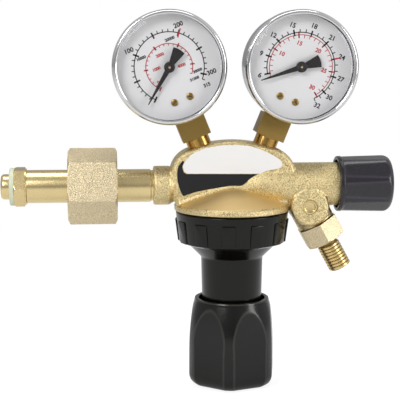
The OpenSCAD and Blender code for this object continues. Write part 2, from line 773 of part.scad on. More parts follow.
// Rubber diaphragm with one rolled fold
module diaphragm() {
    fold = (chamber_r + plate_r) / 2;
    fold_r = (chamber_r - plate_r) / 2 - 0.6;
    color([0.2, 0.2, 0.2]) translate([body_x, 0, 0]) rotate_extrude() difference() {
        union() {
            translate([0, slip_z]) square([skirt_r, diaphragm_t]);
            translate([fold, skirt_z]) circle(r = fold_r, $fn = hull_fn);
        }
        translate([fold, slip_z]) circle(r = fold_r, $fn = hull_fn);
        translate([0, slip_z - fold_r]) square([skirt_r, fold_r]);
        translate([-1, slip_z - 1]) square([1 + pin_r + 1.2, diaphragm_t + fold_r + 2]);
    }
}

// Ring that lets the bonnet turn without dragging the diaphragm
module diaphragm_slip_ring() {
    color(steel) translate([body_x, 0, ledge_z]) tube(skirt_r, chamber_r, slip_ring_t);
}

// Plate that takes the main spring's force to the diaphragm
module diaphragm_plate() {
    color(steel) translate([body_x, 0, 0]) union() {
        translate([0, 0, plate_z]) cylinder(r = plate_r, h = plate_t);
        translate([0, 0, plate_z - 2]) cylinder(r = spring_spigot_r, h = 2 + cut);
    }
}

// Pin that pushes the poppet off its seat
module push_pin() {
    color(steel) translate([body_x, 0, 0]) union() {
        translate([0, 0, slip_z]) cylinder(r = pin_r, h = poppet_z - slip_z);
        translate([0, 0, slip_z]) cylinder(r = pin_r + 1, h = diaphragm_t + backing_t);
        translate([0, 0, skirt_z]) cylinder(r = plate_r / 2, h = backing_t);
    }
}

// Nozzle with the valve seat
module seat_nozzle() {
    color(bright_brass) translate([body_x, 0, nozzle_z]) difference() {
        union() {
            cylinder(r = nozzle_r, h = nozzle_h - 0.8);
            cylinder(r = throat_r + 1, h = nozzle_h);
        }
        translate([0, 0, -1]) cylinder(r = throat_r, h = nozzle_h + 2);
    }
}

// Poppet that shuts on the nozzle
module valve_poppet() {
    color(bright_brass) translate([body_x, 0, poppet_z]) union() {
        cylinder(r = poppet_r, h = poppet_h - 2);
        cylinder(r = poppet_r - 1.4, h = poppet_h);
    }
}

// Spring that closes the poppet
module poppet_spring() {
    color(steel) translate([body_x, 0, poppet_top_z - 2 + cut])
        coil_spring(poppet_r - 0.7, 0.35, 4.5, poppet_spring_len + 2 - run_gap, 12, 5);
}

// One raised grip pad on the bonnet's ring
module grip_pad() {
    pad_r = ring_low_r + pad_rise;
    translate([0, -pad_w / 2, ring_low_z]) cube([pad_r, pad_w, pad_h]);
}

// Black bonnet: threaded ring with grip pads, cone and neck
module bonnet() {
    color(black) translate([body_x, 0, 0]) difference() {
        union() {
            rotate_extrude() polygon([[0, neck_z], [neck_low_r - 0.8, neck_z], [neck_low_r, neck_z + 0.8],
                [neck_top_r, cone_low_z], [cone_top_r, cone_top_z], [ring_low_r, ring_low_z],
                [ring_top_r - 0.5, bonnet_z - 0.5], [ring_top_r - 1.2, bonnet_z], [0, bonnet_z]]);
            intersection() {
                for (i = [0:pad_count - 1]) rotate([0, 0, i * 360 / pad_count - 90 + grip_turn]) grip_pad();
                translate([0, 0, ring_low_z]) cylinder(r1 = ring_low_r + pad_rise,
                    r2 = ring_low_r + pad_rise + (ring_top_r - ring_low_r) * pad_h / ring_h, h = pad_h);
            }
        }
        translate([0, 0, ledge_z]) cylinder(r = skirt_r + fit_gap, h = far);
        translate([0, 0, ring_low_z]) cylinder(r = chamber_r, h = ledge_z - ring_low_z + 1);
        translate([0, 0, cone_low_z + 2])
            cylinder(r1 = spring_bore_r, r2 = chamber_r, h = ring_low_z - cone_low_z - 2 + cut);
        translate([0, 0, wall_z]) cylinder(r = spring_bore_r, h = cone_low_z - wall_z + 3);
        translate([0, 0, neck_z - 1]) cylinder(r = spindle_r + shaft_gap, h = end_wall + 2);
    }
}

// Main spring between plate and button
module main_spring() {
    wire = main_wire_d / 2;
    color(steel) translate([body_x, 0, button_top_z + cut])
        coil_spring(spring_bore_r - wire - run_gap, wire, main_coils,
                    plate_z - button_top_z - 2 * cut, 20, 8);
}

// Button that carries the main spring and slides in the neck
module spring_button() {
    color(steel) translate([body_x, 0, 0]) difference() {
        union() {
            translate([0, 0, button_low_z]) cylinder(r = spring_bore_r - shaft_gap, h = button_t);
            translate([0, 0, button_top_z - cut]) cylinder(r = spring_spigot_r, h = 2);
        }
        translate([0, 0, button_low_z - 1]) cylinder(r = spindle_r - 1 + shaft_gap, h = spindle_tip + 1);
    }
}

// Threaded spindle fixed in the adjusting knob
module adjusting_spindle() {
    tip_z = button_low_z + spindle_tip - shaft_gap;
    low_z = hollow_z - spindle_socket;
    color(steel) translate([body_x, 0, 0]) union() {
        translate([0, 0, button_low_z - shaft_gap - cut])
            cylinder(r = spindle_r - 1, h = tip_z - button_low_z);
        translate([0, 0, hollow_z]) cylinder(r = spindle_r, h = button_low_z - shaft_gap - hollow_z);
        translate([0, 0, low_z]) hex_bar(spindle_af, spindle_socket + cut);
    }
}

// Outside of the adjusting knob before its facets are cut
module knob_turning() {
    flare = [for (i = [0:10]) let (t = i / 10)
        [knob_rim_r + (knob_r - knob_rim_r) * sin(90 * t), knob_z - knob_flare_h * t]];
    round_off = [for (i = [0:8]) let (a = 90 * i / 8)
        [knob_r - knob_round + knob_round * cos(a), knob_low_z + knob_round - knob_round * sin(a)]];
    rotate_extrude() polygon(concat([[0, knob_z]], flare, round_off, [[0, knob_low_z]]));
}

// Black adjusting knob with tall grip facets
module adjusting_knob() {
    lean = atan((facet_low - facet_top) / knob_h);
    inner = knob_rim_r - knob_rim_wall;
    color(black) translate([body_x, 0, 0]) difference() {
        knob_turning();
        for (i = [0:facet_count - 1]) rotate([0, 0, (i + 0.5) * 360 / facet_count - 90 + grip_turn])
            translate([facet_top, 0, knob_z]) rotate([0, -lean, 0])
                translate([0, -knob_r, -2 * knob_h]) cube([knob_r, 2 * knob_r, 2 * knob_h + 1]);
        translate([0, 0, hollow_z]) cylinder(r = inner, h = far);
        translate([0, 0, hollow_z - spindle_socket]) hex_bar(spindle_af + 2 * fit_gap, spindle_socket + 1);
    }
}

// Gland that seals and guides the outlet valve's spindle
module valve_gland() {
    color(bright_brass) difference() {
        union() {
            along_x(gland_x) cylinder(r = gland_r, h = gland_len + cut);
            along_x(arm_end_x) hex_bar(2 * gland_r + 1, gland_collar);
        }
        along_x(gland_x - 1) cylinder(r = stem_r + shaft_gap, h = gland_len + gland_collar + 2);
        along_x(gland_x - 1) cylinder(r = stem_r + 1.8, h = ring_pocket + 1);
    }
}

// Rubber ring on the valve spindle
module valve_o_ring() {
    color(black) along_x(gland_x + ring_pocket / 2)
        rotate_extrude() translate([stem_r + 0.85, 0]) circle(r = 0.8);
}

// Disc that shuts the outlet passage and slides with the spindle
module valve_seat_disc() {
    color(bright_brass) along_x(disc_x) difference() {
        cylinder(r = disc_r, h = disc_t);
        translate([0, 0, disc_t - disc_tip]) cylinder(r = stem_r - 1 + shaft_gap, h = disc_tip + 1);
    }
}

// Spindle of the outlet valve
module valve_spindle() {
    color(steel) union() {
        along_x(stem_x - disc_tip + shaft_gap) cylinder(r = stem_r - 1, h = disc_tip + cut);
        along_x(stem_x + shaft_gap)
            cylinder(r = stem_r, h = valve_hollow_x + valve_socket - stem_x - shaft_gap);
    }
}

// Outside of the valve knob along its own axis
module valve_knob_turning() {
    length = valve_knob_len;
    lip_r = valve_knob_r - valve_knob_taper;
    round_off = [for (i = [0:8]) let (a = 90 * i / 8)
        [valve_knob_r - valve_knob_round + valve_knob_round * cos(a),
         length - valve_knob_dome - valve_knob_round + valve_knob_round * sin(a)]];
    lip = [[0, 0], [lip_r - 0.5, 0], [lip_r, 0.6], [lip_r, valve_lip - 0.6], [lip_r - 0.4, valve_lip]];
    rotate_extrude() polygon(concat(lip, round_off, [[0, length]]));
}

// Black valve knob with soft facets
module valve_knob() {
    color(black) difference() {
        along_x(valve_knob_x) valve_knob_turning();
        for (i = [0:valve_facets - 1]) rotate([valve_turn + (i + 0.5) * 360 / valve_facets, 0, 0])
            translate([valve_knob_x + valve_lip, -valve_knob_r, valve_knob_r - valve_facet_cut])
                cube([valve_knob_len, 2 * valve_knob_r, 5]);
        along_x(valve_knob_x - 1) cylinder(r = valve_knob_r - valve_knob_wall, h = valve_knob_depth + 1);
        along_x(valve_hollow_x - 1) cylinder(r = stem_r + fit_gap, h = valve_socket + 1 + shaft_gap);
    }
}

// Outlet connector with its threaded end
module outlet_connector() {
    neck_s = outlet_hex_len;
    thread_s = neck_s + outlet_neck_len;
    end_s = thread_s + outlet_thread_len;
    color(brass) along_outlet(outlet_face_s) difference() {
        union() {
            intersection() {
                translate([0, 0, run_gap]) rotate([0, 0, 30]) hex_bar(outlet_af, outlet_hex_len - run_gap);
                translate([0, 0, outlet_hex_len]) mirror([0, 0, 1])
                    corner_trim(outlet_af, outlet_chamfer, outlet_hex_len);
            }
            translate([0, 0, -outlet_root_len]) cylinder(r = outlet_root_r, h = outlet_root_len + 1);
            translate([0, 0, neck_s - cut])
                cylinder(r = outlet_r - outlet_neck_cut, h = outlet_neck_len + 2 * cut);
            translate([0, 0, thread_s]) cylinder(r = outlet_r, h = outlet_thread_len - 1);
            translate([0, 0, end_s - 1 - cut]) cylinder(r1 = outlet_r, r2 = outlet_r - 1, h = 1);
        }
        translate([0, 0, -outlet_root_len - 1]) cylinder(r = outlet_bore_r, h = outlet_root_len + end_s + 2);
        translate([0, 0, end_s - 2]) cylinder(r1 = outlet_bore_r, r2 = outlet_bore_r + 1.5, h = 2 + cut);
        translate([0, 0, -1]) tube(outlet_r + 2, outlet_root_r, washer_t + 1);
    }
}

// Sealing washer under the outlet connector
module outlet_washer() {
    color([0.75, 0.45, 0.3]) along_outlet(outlet_face_s)
        tube(outlet_r + 2 - fit_gap, outlet_root_r + fit_gap, washer_t);
}

// Plug that closes the cross drilling on the knuckle's front
module passage_plug() {
    color(bright_brass) along_outlet(knuckle_s) rotate([90, 0, 0]) translate([0, 0, knuckle_y - plug_len])
        difference() {
            cylinder(r = plug_r, h = plug_len - plug_sink);
            translate([0, 0, plug_len - plug_sink - plug_recess])
                cylinder(r = plug_recess_r, h = plug_recess + 1);
        }
}

// Relief valve's body, screwed into the back of the regulator
module relief_cartridge() {
    color(bright_brass) along_relief(face_y) difference() {
        union() {
            translate([0, 0, -relief_root + 0.5]) cylinder(r = relief_r, h = relief_root);
            hex_bar(relief_af, relief_hex_len);
            cylinder(r = sleeve_r, h = sleeve_end);
        }
        cylinder(r = sleeve_bore_r, h = far);
        translate([0, 0, -relief_root]) cylinder(r = 1.5, h = far);
        for (a = [0, 90]) translate([0, 0, relief_hex_len + 2.5]) rotate([90, 0, a])
            cylinder(r = 1, h = 4 * sleeve_r, center = true);
    }
}

// Relief valve's poppet
module relief_poppet() {
    color(steel) along_relief(face_y + shaft_gap) union() {
        cylinder(r = sleeve_bore_r - run_gap, h = relief_disc_t);
        cylinder(r = 1.6, h = 4);
    }
}

// Relief valve's spring
module relief_spring() {
    start = relief_disc_t + shaft_gap + cut;
    color(steel) along_relief(face_y + start)
        coil_spring(relief_coil_r, 0.45, 4, pocket_floor - relief_lift - shaft_gap - start, 12, 5);
}

// Vented cap that holds the relief valve's spring
module relief_cap() {
    color(bright_brass) along_relief(face_y + sleeve_end - relief_cap_sink - relief_cap_t) difference() {
        cylinder(r = sleeve_bore_r - fit_gap, h = relief_cap_t);
        translate([0, 0, -1]) cylinder(r = relief_coil_r + 0.7, h = pocket_depth + 1);
        translate([0, 0, -1]) hex_bar(3, relief_cap_t + 2);
    }
}

// Piece of the pressure tube's ring, from one angle over a sweep, seen from the front
module coil_piece(start, sweep, inner, outer, depth, width) {
    to_front(depth) rotate([0, 0, start]) rotate_extrude(angle = sweep)
        translate([inner, 0]) square([outer - inner, width]);
}

// Gauge stem: threaded neck, square block, seat of the movement and root of the pressure tube
module gauge_stem(side) {
    half = stem_block / 2;
    root_inner = coil_r - coil_t / 2 - 0.6;
    root_outer = coil_r + coil_t / 2 + 0.6;
    root_w = 2 * (root_inner * sin(root_sweep / 2) - fit_gap);
    root_depth = rear_plate - plate_thick - run_gap;
    ledge_low = sqrt(pow(case_r - case_wall, 2) - pow(half, 2));
    color([0.6, 0.48, 0.26]) at_gauge(side) difference() {
        union() {
            translate([-half, -half, -block_low]) cube([stem_block, stem_block, block_low - case_r - 0.2]);
            translate([-seat_w / 2, -seat_w / 2, -case_r - 1]) cube([seat_w, seat_w, case_r + 1 - block_top]);
            translate([0, 0, -block_low - gauge_neck_len + 0.5])
                cylinder(r = gauge_neck_r, h = gauge_neck_len);
            to_front(0) rotate([0, 0, coil_root + root_sweep / 2]) translate([root_inner, -root_w / 2, 0])
                cube([root_outer - root_inner, root_w, root_depth]);
            translate([-seat_w / 2, -root_depth, -block_top - 1]) cube([seat_w / 2, root_depth, 4.2]);
            translate([-seat_w / 2, -plate_front, -ledge_low])
                cube([seat_w, plate_front, ledge_low - block_top]);
        }
        translate([0, 0, -block_low - gauge_neck_len])
            cylinder(r = port_r, h = gauge_neck_len + block_low - block_top - foot_depth / 3);
    }
}

// Solid of a round cup with a rounded lower edge
module round_cup(r, rounding, depth) {
    rotate_extrude() {
        square([r - rounding, depth]);
        translate([0, rounding]) square([r, depth - rounding]);
        intersection() {
            translate([r - rounding, rounding]) circle(r = rounding);
            square([r, rounding]);
        }
    }
}

// Gauge case: a round cup open to the front, with a gap for the stem
module gauge_case(side) {
    depth = case_front + case_back;
    color([0.72, 0.73, 0.75]) at_gauge(side) difference() {
        to_front(-case_back) difference() {
            round_cup(case_r, case_round, depth);
            translate([0, 0, case_wall]) round_cup(case_r - case_wall, case_round - case_wall, depth);
        }
        translate([-seat_w / 2 - shaft_gap, -seat_w / 2 - shaft_gap, -case_r - 2])
            cube([seat_w + 2 * shaft_gap, seat_w + 2 * shaft_gap, 8]);
    }
}

// Bright bezel ring that holds the window
module gauge_bezel(side) {
    color([0.8, 0.8, 0.82]) at_gauge(side) to_front(bezel_front - bezel_depth) rotate_extrude()
        polygon([[case_r + fit_gap, 0], [bezel_r - 0.8, 0], [bezel_r, 0.8], [bezel_r, bezel_depth - 2],
                 [bezel_r - 1.2, bezel_depth - 0.3], [bezel_r - 2, bezel_depth], [sight_r, bezel_depth - 0.6],
                 [sight_r, bezel_depth - 1], [case_r + fit_gap, bezel_depth - 1]]);
}

// Clear window with a raised middle
module gauge_window(side) {
    color([0.85, 0.9, 0.95, 0.35]) at_gauge(side) to_front(window_back) union() {
        cylinder(r = case_r, h = window_t);
        translate([0, 0, window_t - cut]) cylinder(r1 = sight_r - 0.1, r2 = sight_r - 1.6, h = window_rise);
    }
}

// Dial plate
module gauge_dial(side) {
    color([0.93, 0.93, 0.93]) at_gauge(side) to_front(dial_back) difference() {
        cylinder(r = dial_r, h = dial_t);
        translate([0, 0, -1]) cylinder(r = arbor_r + 0.4, h = 3);
        for (x = [-1, 1]) translate([x * dial_screw_x, -dial_screw_z, -1]) cylinder(r = 1, h = 3);
    }
}

// Two screws that hold the dial to the movement's front plate
module gauge_dial_screws(side) {
    color(bright_brass) at_gauge(side) for (x = [-1, 1]) translate([x * dial_screw_x, 0, -dial_screw_z]) {
        to_front(dial_front) cylinder(r = 1.9, h = 0.7);
        to_front(plate_front - plate_thick)
            cylinder(r = 0.9, h = dial_front - plate_front + plate_thick + cut);
    }
}

// Pointer with hub and fan-shaped tail
module gauge_pointer(side, rest) {
    blade_t = 0.5;
    hub_t = 2;
    hub_y = hub_front - hub_t;
    color(black) at_gauge(side) rotate([0, rest, 0]) difference() {
        union() {
            to_front(hub_y) cylinder(r = hub_r, h = hub_t);
            to_front(hub_y + 0.6) linear_extrude(blade_t) {
                polygon([[-1.3, 0], [-0.15, -pointer_len], [0.15, -pointer_len], [1.3, 0]]);
                polygon([[-1, 0], [-tail_w / 2, pointer_tail], [0, pointer_tail + 0.5],
                         [tail_w / 2, pointer_tail], [1, 0]]);
            }
        }
        to_front(hub_y - 1) cylinder(r = arbor_r + fit_gap, h = 2.4);
    }
}

// Arbor with its pinion
module gauge_arbor(side) {
    rear_y = rear_plate - plate_thick / 2;
    color(bright_brass) at_gauge(side) union() {
        to_front(rear_y) cylinder(r = arbor_r, h = hub_front - 0.9 - rear_y);
        to_front(sector_y - 0.6) cylinder(r = sector_pitch_r / gear_ratio - 0.05, h = sector_t + 1.2);
    }
}

// Sector that turns the pinion
module gauge_sector(side) {
    rear_y = rear_plate - plate_thick / 2;
    first = 90 - gauge_swing / gear_ratio - 8;
    color(bright_brass) at_gauge(side) translate([0, 0, sector_z]) union() {
        to_front(rear_y) cylinder(r = arbor_r, h = plate_front - rear_y);
        to_front(sector_y) cylinder(r = 1.8, h = sector_t);
        to_front(sector_y) rotate([0, 0, first]) rotate_extrude(angle = gauge_swing / gear_ratio + 16)
            translate([sector_pitch_r - 2.1, 0]) square([2, sector_t]);
        for (a = [first + 2, 90 + 6]) to_front(sector_y) rotate([0, 0, a])
            translate([1, -0.6, 0]) cube([sector_pitch_r - 2.5, 1.2, sector_t]);
        to_front(sector_y) rotate([0, 0, tail_angle]) translate([1, -0.8, 0]) cube([tail_len, 1.6, sector_t]);
    }
}

// Link between pressure tube and sector
module gauge_link(side) {
    tail = [tail_len * cos(tail_angle), tail_len * sin(tail_angle) + sector_z];
    tip = [coil_r * cos(coil_tip), coil_r * sin(coil_tip)];
    reach = norm(tip - tail);
    color(steel) at_gauge(side) to_front(sector_y + sector_t + run_gap) translate([tail[0], tail[1], 0])
        rotate([0, 0, atan2(tip[1] - tail[1], tip[0] - tail[0])]) union() {
            cylinder(r = 1.1, h = link_t);
            translate([reach, 0, 0]) cylinder(r = 1.1, h = link_t);
            translate([0, -0.5, 0]) cube([reach, 1, link_t]);
        }
}

// Curved pressure tube with the post that takes the link
module gauge_pressure_tube(side) {
    post = sector_y + sector_t + run_gap;
    color([0.7, 0.5, 0.3]) at_gauge(side) union() {
        coil_piece(coil_tip, coil_root - coil_tip, coil_r - coil_t / 2, coil_r + coil_t / 2, 0.5, coil_w);
        to_front(0.5) rotate([0, 0, coil_tip]) translate([coil_r, 0.8, 0]) cylinder(r = 0.8, h = post - 0.5);
    }
}

// Frame of two plates and pillars that carries arbor and sector
module gauge_movement_frame(side) {
    frame_h = 26;
    foot_h = 3;
    low_z = -block_top + fit_gap;
    plates_z = low_z + foot_h - 0.1;
    color(brass) at_gauge(side) difference() {
        union() {
            for (y = [rear_plate, plate_front]) translate([-seat_w / 2, -y, plates_z])
                cube([seat_w, plate_thick, frame_h]);
            for (x = [-1, 1]) translate([x * (seat_w / 2 - 1), 0, plates_z + frame_h - 1.5])
                to_front(rear_plate) cylinder(r = 1, h = plate_front - rear_plate);
            translate([-seat_w / 2, -plate_front, low_z])
                cube([seat_w, plate_front - rear_plate + plate_thick, foot_h]);
        }
        for (z = [0, sector_z]) translate([0, 1, z]) to_front(0) cylinder(r = arbor_r + shaft_gap, h = far);
        for (x = [-1, 1]) translate([x * dial_screw_x, 0, -dial_screw_z]) to_front(plate_front - 1)
            cylinder(r = 1, h = 3);
    }
}

body();
inlet_nipple();
inlet_seal();
inlet_stem();
inlet_filter();
union_nut();
nut_thrust_ring();
diaphragm();
diaphragm_slip_ring();
diaphragm_plate();
push_pin();
seat_nozzle();
valve_poppet();
poppet_spring();
bonnet();
main_spring();
spring_button();
adjusting_spindle();
adjusting_knob();
valve_gland();
valve_seat_disc();
valve_spindle();
valve_o_ring();
valve_knob();
outlet_connector();
outlet_washer();
passage_plug();
relief_cartridge();
relief_poppet();
relief_spring();
relief_cap();
gauge_stem(high);  // high_gauge_stem
gauge_case(high);  // high_gauge_case
gauge_bezel(high);  // high_gauge_bezel
gauge_window(high);  // high_gauge_window
gauge_dial(high);  // high_gauge_dial
gauge_dial_screws(high);  // high_gauge_dial_screws
gauge_pointer(high, high_rest);  // high_gauge_pointer
gauge_arbor(high);  // high_gauge_arbor
gauge_sector(high);  // high_gauge_sector
gauge_link(high);  // high_gauge_link
gauge_pressure_tube(high);  // high_gauge_pressure_tube
gauge_movement_frame(high);  // high_gauge_movement_frame
gauge_stem(low);  // low_gauge_stem
gauge_case(low);  // low_gauge_case
gauge_bezel(low);  // low_gauge_bezel
gauge_window(low);  // low_gauge_window
gauge_dial(low);  // low_gauge_dial
gauge_dial_screws(low);  // low_gauge_dial_screws
gauge_pointer(low, low_rest);  // low_gauge_pointer
gauge_arbor(low);  // low_gauge_arbor
gauge_sector(low);  // low_gauge_sector
gauge_link(low);  // low_gauge_link
gauge_pressure_tube(low);  // low_gauge_pressure_tube
gauge_movement_frame(low);  // low_gauge_movement_frame
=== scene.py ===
"""Gas cylinder regulator: finishes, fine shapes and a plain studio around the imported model.

Shapes are in millimetres until a mesh is placed. Finishes, lamps and the camera are in metres.
"""

import json
import logging
import math
from dataclasses import astuple, dataclass, field, fields, replace
from enum import Enum
from typing import Any, Optional, Sequence

import bmesh
import bpy
from mathutils import Matrix, Vector

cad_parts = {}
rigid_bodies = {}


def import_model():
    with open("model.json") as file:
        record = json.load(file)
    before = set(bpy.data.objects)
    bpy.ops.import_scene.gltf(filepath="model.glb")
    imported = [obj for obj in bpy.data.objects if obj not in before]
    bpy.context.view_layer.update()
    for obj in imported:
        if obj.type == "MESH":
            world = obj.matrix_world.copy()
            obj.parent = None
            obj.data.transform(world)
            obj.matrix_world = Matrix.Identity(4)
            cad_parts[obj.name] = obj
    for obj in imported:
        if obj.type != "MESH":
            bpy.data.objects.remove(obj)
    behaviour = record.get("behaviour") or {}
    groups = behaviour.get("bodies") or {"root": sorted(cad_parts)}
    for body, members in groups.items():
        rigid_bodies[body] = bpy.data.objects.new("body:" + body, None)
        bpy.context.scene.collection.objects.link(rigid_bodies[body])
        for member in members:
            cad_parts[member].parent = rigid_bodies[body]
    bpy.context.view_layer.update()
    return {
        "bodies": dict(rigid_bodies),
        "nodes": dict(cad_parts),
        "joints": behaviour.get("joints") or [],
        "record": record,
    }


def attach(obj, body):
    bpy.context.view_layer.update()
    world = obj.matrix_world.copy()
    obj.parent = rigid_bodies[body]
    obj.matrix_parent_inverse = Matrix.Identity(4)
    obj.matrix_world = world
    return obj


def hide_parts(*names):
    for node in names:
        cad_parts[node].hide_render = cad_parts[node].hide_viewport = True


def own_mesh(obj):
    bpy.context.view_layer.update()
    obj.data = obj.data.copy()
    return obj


log = logging.getLogger("regulator")

MM = 0.001
FAR = 999.0
AXIS_X = 120.0
OUTLET_X = 155.0
OUTLET_TILT = 28.8
KNUCKLE_S = 12.8
OUTLET_FACE_S = 24.0
PLUG_LOW = 7.4
GAUGE_TILT = 22.0
GAUGE_PIVOT_Z = -22.0
GAUGE_REACH = 92.9
GRIP_TURN = -9.2
SMOOTH_ANGLE = 32.0

Point = tuple[float, float]
Triple = tuple[float, float, float]


class Side(Enum):
    """Which of the two gauges."""

    HIGH = "high"
    LOW = "low"

    @property
    def sign(self) -> int:
        """-1 for the gauge at the left and 1 for the one at the right."""
        return -1 if self is Side.HIGH else 1


class Grain(Enum):
    """How a surface was worked."""

    BLASTED = "blasted"
    BRUSHED = "brushed"
    TURNED = "turned"
    PLAIN = "plain"


# ---------------------------------------------------------------- places


def shift(x: float = 0.0, y: float = 0.0, z: float = 0.0) -> Matrix:
    """Frame moved by three lengths."""
    return Matrix.Translation((x, y, z))


def turn(degrees: float, axis: str) -> Matrix:
    """Frame turned about one axis."""
    return Matrix.Rotation(math.radians(degrees), 4, axis)


def along_x(x: float) -> Matrix:
    """Frame with its Z along the inlet axis, starting at x."""
    return shift(x) @ turn(90, "Y")


def upright() -> Matrix:
    """Frame on the regulator's upright axis."""
    return shift(AXIS_X)


def along_outlet(s: float) -> Matrix:
    """Frame with its Z along the outlet axis, away from the arm."""
    return shift(OUTLET_X) @ turn(180 - OUTLET_TILT, "Y") @ shift(z=s)


def across_knuckle() -> Matrix:
    """Frame on the outlet's round knuckle, with its Z to the front."""
    return along_outlet(KNUCKLE_S) @ turn(90, "X")


def to_front(depth: float = 0.0) -> Matrix:
    """Frame with its Z towards the front, starting at a depth in front of the XZ plane."""
    return shift(y=-depth) @ turn(90, "X")


def gauge_frame(side: Side) -> Matrix:
    """Frame of one gauge, with the dial's centre in its XZ plane."""
    return shift(AXIS_X, 0, GAUGE_PIVOT_Z) @ turn(side.sign * GAUGE_TILT, "Y") @ shift(z=GAUGE_REACH)


def in_metres(place: Matrix) -> Matrix:
    """A frame given in millimetres, for a mesh that is already in metres."""
    return Matrix.Translation(place.translation * MM) @ place.to_3x3().to_4x4()


# ---------------------------------------------------------------- node expressions


class Expr:
    """A node socket that takes part in Python arithmetic."""

    def __init__(self, tree: "Nodes", socket: Any) -> None:
        """Keeps the socket and the tree that it belongs to."""
        self.tree, self.socket = tree, socket

    def __add__(self, other: Any) -> "Expr":
        """Sum."""
        return self.tree.math("ADD", self, other)

    def __mul__(self, other: Any) -> "Expr":
        """Product."""
        return self.tree.math("MULTIPLY", self, other)

    def __sub__(self, other: Any) -> "Expr":
        """Difference."""
        return self.tree.math("SUBTRACT", self, other)

    def __rsub__(self, other: Any) -> "Expr":
        """Difference with the terms the other way round."""
        return self.tree.math("SUBTRACT", other, self)

    def __truediv__(self, other: Any) -> "Expr":
        """Quotient."""
        return self.tree.math("DIVIDE", self, other)

    def __rtruediv__(self, other: Any) -> "Expr":
        """Quotient with the terms the other way round."""
        return self.tree.math("DIVIDE", other, self)


class Nodes:
    """Adds nodes to one shader or geometry tree."""

    def __init__(self, tree: Any) -> None:
        """Keeps the tree."""
        self.tree = tree

    def node(self, kind: str, settings: Optional[dict[str, Any]] = None, **inputs: Any) -> Any:
        """Adds a node.

        Args:
            kind: the node's type name.
            settings: attributes that are set before its sockets.
            inputs: socket values or links by socket name, with underscores for spaces.

        Returns:
            The new node.
        """
        made = self.tree.nodes.new(kind)
        for name, value in (settings or {}).items():
            setattr(made, name, value)
        for name, value in inputs.items():
            self.feed(made.inputs[name.replace("_", " ")], value)
        return made

    def feed(self, socket: Any, value: Any) -> None:
        """Links or sets one input socket."""
        if isinstance(value, Expr):
            self.tree.links.new(value.socket, socket)
        else:
            socket.default_value = value

    def feed_all(self, sockets: Sequence[Any], *values: Any) -> None:
        """Links or sets input sockets in their order."""
        for socket, value in zip(sockets, values):
            self.feed(socket, value)

    def out(self, made: Any, output: Any = 0) -> Expr:
        """One output of a node as an expression."""
        return Expr(self, made.outputs[output])

    def read(self, kind: str, output: Any = 0, settings: Optional[dict[str, Any]] = None, **inputs: Any) -> Expr:
        """Adds a node and gives one of its outputs."""
        return self.out(self.node(kind, settings, **inputs), output)

    def math(self, operation: str, *values: Any) -> Expr:
        """Adds a Math node."""
        made = self.node("ShaderNodeMath", {"operation": operation})
        self.feed_all(made.inputs, *values)
        return self.out(made)

    def split(self, vector: Any) -> list[Expr]:
        """The three parts of a vector."""
        made = self.node("ShaderNodeSeparateXYZ", Vector=vector)
        return [self.out(made, i) for i in range(3)]

    def mix(self, factor: Any, low: Any, high: Any) -> Expr:
        """Mixes two colours."""
        made = self.node("ShaderNodeMix", {"data_type": "RGBA"})
        self.feed_all([made.inputs[i] for i in (0, 6, 7)], factor, low, high)
        return self.out(made, 2)

    def blend(self, factor: Any, low: Any, high: Any) -> Expr:
        """Mixes two shaders."""
        made = self.node("ShaderNodeMixShader")
        self.feed_all(made.inputs, factor, low, high)
        return self.out(made)

    def noise(self, where: Any, scale: float, detail: float = 2.0, rough: float = 0.5) -> Expr:
        """Noise between 0 and 1 around 0.5."""
        return self.read("ShaderNodeTexNoise", "Fac", Vector=where, Scale=scale, Detail=detail, Roughness=rough)

    def clamp(self, value: Any, low: float, high: float) -> Expr:
        """Keeps a value between two limits."""
        return self.read("ShaderNodeClamp", Value=value, Min=low, Max=high)

    def seen(self, paths: Any) -> Expr:
        """1 for rays that come from the camera, also through a window."""
        return self.math("MAXIMUM", self.out(paths, "Is Camera Ray"), self.out(paths, "Is Transmission Ray"))


# ---------------------------------------------------------------- finishes


def shaded(colour: Triple, factor: float = 1.0) -> tuple[float, ...]:
    """Colour with full alpha, made darker or lighter by a factor."""
    return (*(min(c * factor, 1.0) for c in colour), 1.0)


def new_material(name: str) -> tuple[bpy.types.Material, Nodes]:
    """A material with an empty tree, and that tree."""
    made = bpy.data.materials.new(name)
    made.use_nodes = True
    made.node_tree.nodes.clear()
    return made, Nodes(made.node_tree)


